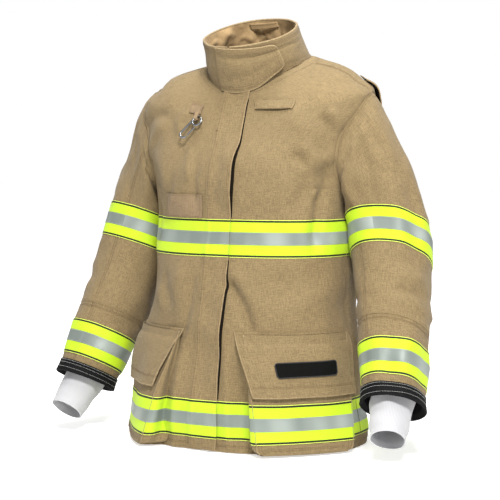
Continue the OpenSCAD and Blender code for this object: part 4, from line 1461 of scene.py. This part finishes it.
def label_patch():
    """The dark woven patch on the wearer's left flap, left plain."""
    piece = Piece("label_patch", "label")
    a, b = grid(evenly(50), evenly(18))
    reach = 0.045
    near = np.clip(np.maximum(reach - a, a - 1 + reach) / reach, 0, 1)
    squeeze = LABEL_CORNER * (1 - np.sqrt(1 - near**2))
    b = lerp(squeeze, 1 - squeeze, b)
    k = lerp(*LABEL_K, a)
    j = lerp(*LABEL_J, b) + 0.02 * (a - 0.5)
    piece.sheet(flap_sheet(k, j, LEFT, 1.7), flap_sheet(k, j, LEFT, 0.3), "label_cloth")
    top = flap_sheet(k, j, LEFT, 1.2)
    border = np.concatenate([top[0], top[1:-1, -1], top[-1, ::-1], top[-2:0:-1, 0]])
    piece.tube(border, 1.3, "thread_black", closed=True)
    made = piece.build("label_patch")
    follow_flap(made)


# ---------------------------------------------------------------- small sewn pieces

PATCH_LIFT = 1.2
PATCH_STITCH = {"pitch": 2.6, "length": 1.8}


def sewn_patch(name, slot, corners, material, thickness, belly=0.0):
    """A flat patch on the body between four (angle, level) corners: lower inner, lower outer, upper
    outer, upper inner; belly is how far its middle stands off along its length."""
    piece = Piece(name, slot)
    a, b = grid(evenly(24), evenly(12))
    low_in, low_out, high_out, high_in = (np.array(c, float) for c in corners)

    def place(a, b, off):
        a, b = pair(a, b)
        at = lerp(lerp(low_in, low_out, a[..., None]), lerp(high_in, high_out, a[..., None]), b[..., None])
        stand = belly * arch(a) ** 0.8 * (1 - 0.6 * b)
        return body_at(at[..., 0], at[..., 1], PATCH_LIFT + stand + off)

    piece.sheet(place(a, b, thickness), place(a, b, 0), material)
    out = body_out(low_in[0], low_in[1])
    loop = [(0.05, 0.06), (0.95, 0.06), (0.95, 0.94), (0.05, 0.94), (0.05, 0.06)]
    for (a0, b0), (a1, b1) in zip(loop[:-1], loop[1:]):
        line = place(np.linspace(a0, a1, 14), np.linspace(b0, b1, 14), thickness + 0.03)
        piece.stitches(line, out, "thread_tan", **PATCH_STITCH)
    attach(piece.build(name), "body")


def hook_strap():
    """Tab on the wearer's right chest, and the narrow strap from it through the hook's eye."""
    piece = Piece("hook_strap", "patch_fabric")

    def tab(a, b, off):
        u = lerp(lerp(-20.6, -23.6, b), lerp(-14.0, -15.4, b), a)
        return body_at(u, lerp(729.0, 750.0, b), off)

    a, b = grid(evenly(16), evenly(14))
    piece.sheet(tab(a, b, 2.8), tab(a, b, 0.9), "shell_patch")
    run = np.linspace(0.07, 0.93, 14)
    for a, b in ((run, 0.08), (run, 0.92), (0.08, run), (0.92, run)):
        piece.stitches(tab(a, b, 2.85), body_out(-18.0, 740.0), "thread_tan", **PATCH_STITCH)
    # Angle, level and height of the strap, down the front, through the eye and back up behind
    route = ((-16.6, 742, 2.4), (-16.2, 732, 3.4), (-15.6, 723, 6.0), (-14.8, 715, 10.5), (-14.5, 711, 12.5),
             (-14.5, 708, 10.0), (-14.6, 710, 6.0), (-15.0, 717, 3.2), (-15.8, 728, 1.6))
    piece.tube(body_at(*along(route, 50)), 4.6, "shell_patch", flat=0.2, out=body_out(-14, 715))
    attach(piece.build("hook_strap"), "body")


# How far the open edge of each back pleat stands off
PLEAT_RISE = {LEFT: 10.0, RIGHT: 5.0}


def back_pleat(side):
    """Open fold of the action back: a tongue of shell standing off behind the shoulder, its underside
    painted dark as the shade inside the fold.
    """
    piece = Piece(SIDE_NAME[side] + "_back_pleat", "shell_fabric")

    def place(a, b, off):
        """a runs from the open edge to the sewn one, and b up."""
        rise = PLEAT_RISE[side] * (1 - a) ** 0.6 * arch(0.12 + 0.80 * b) ** 1.1
        return body_at(side * lerp(99.0, 125.0, a), lerp(636.0, 742.0, b), rise + off)

    a, b = grid(evenly(22), evenly(30))
    piece.sheet(place(a, b, 3.6), place(a, b, 2.0), "shell", back_material="liner_dark")
    piece.tube(place(0, evenly(40), 2.8), 1.2, "shell_edge")
    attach(piece.build(piece.name), "body")


# ---------------------------------------------------------------- CAD nodes that keep their own shape

CAD_SHARP_ANGLE = math.radians(35)
KEPT_NODES = {
    "brass": ("zip_teeth_left", "zip_teeth_right", "zip_slider"),
    "tape_plain": ("zip_tapes", "flap_hook_tape", "flap_loop_tape"),
    "steel": ("snap_hook", "hook_gate"),
}


def dress_cad_nodes():
    for material, name in ((m, n) for m, names in KEPT_NODES.items() for n in names):
        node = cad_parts[name]
        node.data.materials.clear()
        node.data.materials.append(MATERIALS[material])
        node.data.shade_smooth()
        node.data.set_sharp_from_angle(angle=CAD_SHARP_ANGLE)


# ---------------------------------------------------------------- camera, light and floor

# Angle round the coat, angle down, distance, height, step sideways and lens of the camera
CAMERA_AZIMUTH, CAMERA_PITCH, CAMERA_AWAY, CAMERA_H = 28.0, 4.075, 3.334, 0.631
CAMERA_SIDESTEP, CAMERA_LENS = 0.0083, 115.2


def camera():
    data = bpy.data.cameras.new("camera")
    data.lens = CAMERA_LENS
    data.sensor_width = 36.0
    made = in_scene("camera", data)
    a = math.radians(CAMERA_AZIMUTH)
    made.location = (math.sin(a) * CAMERA_AWAY + math.cos(a) * CAMERA_SIDESTEP,
                     -math.cos(a) * CAMERA_AWAY + math.sin(a) * CAMERA_SIDESTEP, CAMERA_H)
    made.rotation_euler = (math.radians(90 - CAMERA_PITCH), 0, a)
    bpy.context.scene.camera = made


# Area lights: name, place, the point each one faces, size, watts, colour
LIGHTS = (
    ("key", (1.2, -1.7, 2.6), (0, 0, 0.55), 0.7, 165, (1.0, 0.985, 0.96)),
    ("top", (0.1, -0.1, 2.5), (0, 0, 0.6), 0.9, 56, (1.0, 0.99, 0.97)),
)


def softbox(name, place, target, size, watts, tint):
    data = bpy.data.lights.new(name, "AREA")
    data.energy = watts
    data.size = size
    data.color = tint
    made = in_scene(name, data)
    made.location = place
    made.rotation_euler = (Vector(target) - Vector(place)).to_track_quat("-Z", "Y").to_euler()


# Brightness of the white surroundings as a light; they show as plain white
AMBIENT = 0.5
FLOOR_HALF, FLOOR_Z = 14.0, -0.002


def studio():
    world = bpy.data.worlds.new("studio")
    bpy.context.scene.world = world
    world.use_nodes = True
    background = world.node_tree.nodes["Background"]
    background.inputs[0].default_value = (1, 1, 1, 1)
    rays = world.node_tree.nodes.new("ShaderNodeLightPath")
    level = world.node_tree.nodes.new("ShaderNodeMapRange")
    world.node_tree.links.new(rays.outputs["Is Camera Ray"], level.inputs["Value"])
    level.inputs["To Min"].default_value = AMBIENT
    world.node_tree.links.new(level.outputs[0], background.inputs[1])
    bpy.context.scene.view_settings.view_transform = "Standard"
    for light in LIGHTS:
        softbox(*light)
    mesh = bpy.data.meshes.new("floor")
    corners = ((-1, -1), (1, -1), (1, 1), (-1, 1))
    mesh.from_pydata([(FLOOR_HALF * x, FLOOR_HALF * y, FLOOR_Z) for x, y in corners], [], [(0, 1, 2, 3)])
    floor = in_scene("floor", mesh)
    n = Nodes("floor_pale")
    n.finish((0.9, 0.9, 0.9, 1), 0.9, specular=0.0, emission=0.62)
    mesh.materials.append(MATERIALS["floor_pale"])


# ---------------------------------------------------------------- the coat

camera()
studio()
for side in (LEFT, RIGHT):
    front_shell(side)
back_shell()
inner_layer("moisture_barrier", "membrane", 3.7, 1.0, "membrane", 0.0)
inner_layer("thermal_liner", "lining_fabric", 6.0, 1.6, "liner", 0.9)
body_trims()
storm_flap()
throat_tab()
collar_shell()
collar_lining()
hanger_loop()
for side in (LEFT, RIGHT):
    sleeve(side)
    cuff(side)
    wristlet(side)
    pocket(side)
    pocket_flap(side)
    back_pleat(side)
label_patch()
sewn_patch("chest_patch", "patch_fabric", ((-9.2, 464), (-38, 464), (-38, 512), (-9.2, 512)), "shell_patch",
           thickness=2.6)
sewn_patch("mic_tab", "shell_fabric", ((10, 745), (28.5, 727), (33, 748), (11.5, 768)), "shell",
           thickness=2.0, belly=3.0)
hook_strap()
dress_cad_nodes()
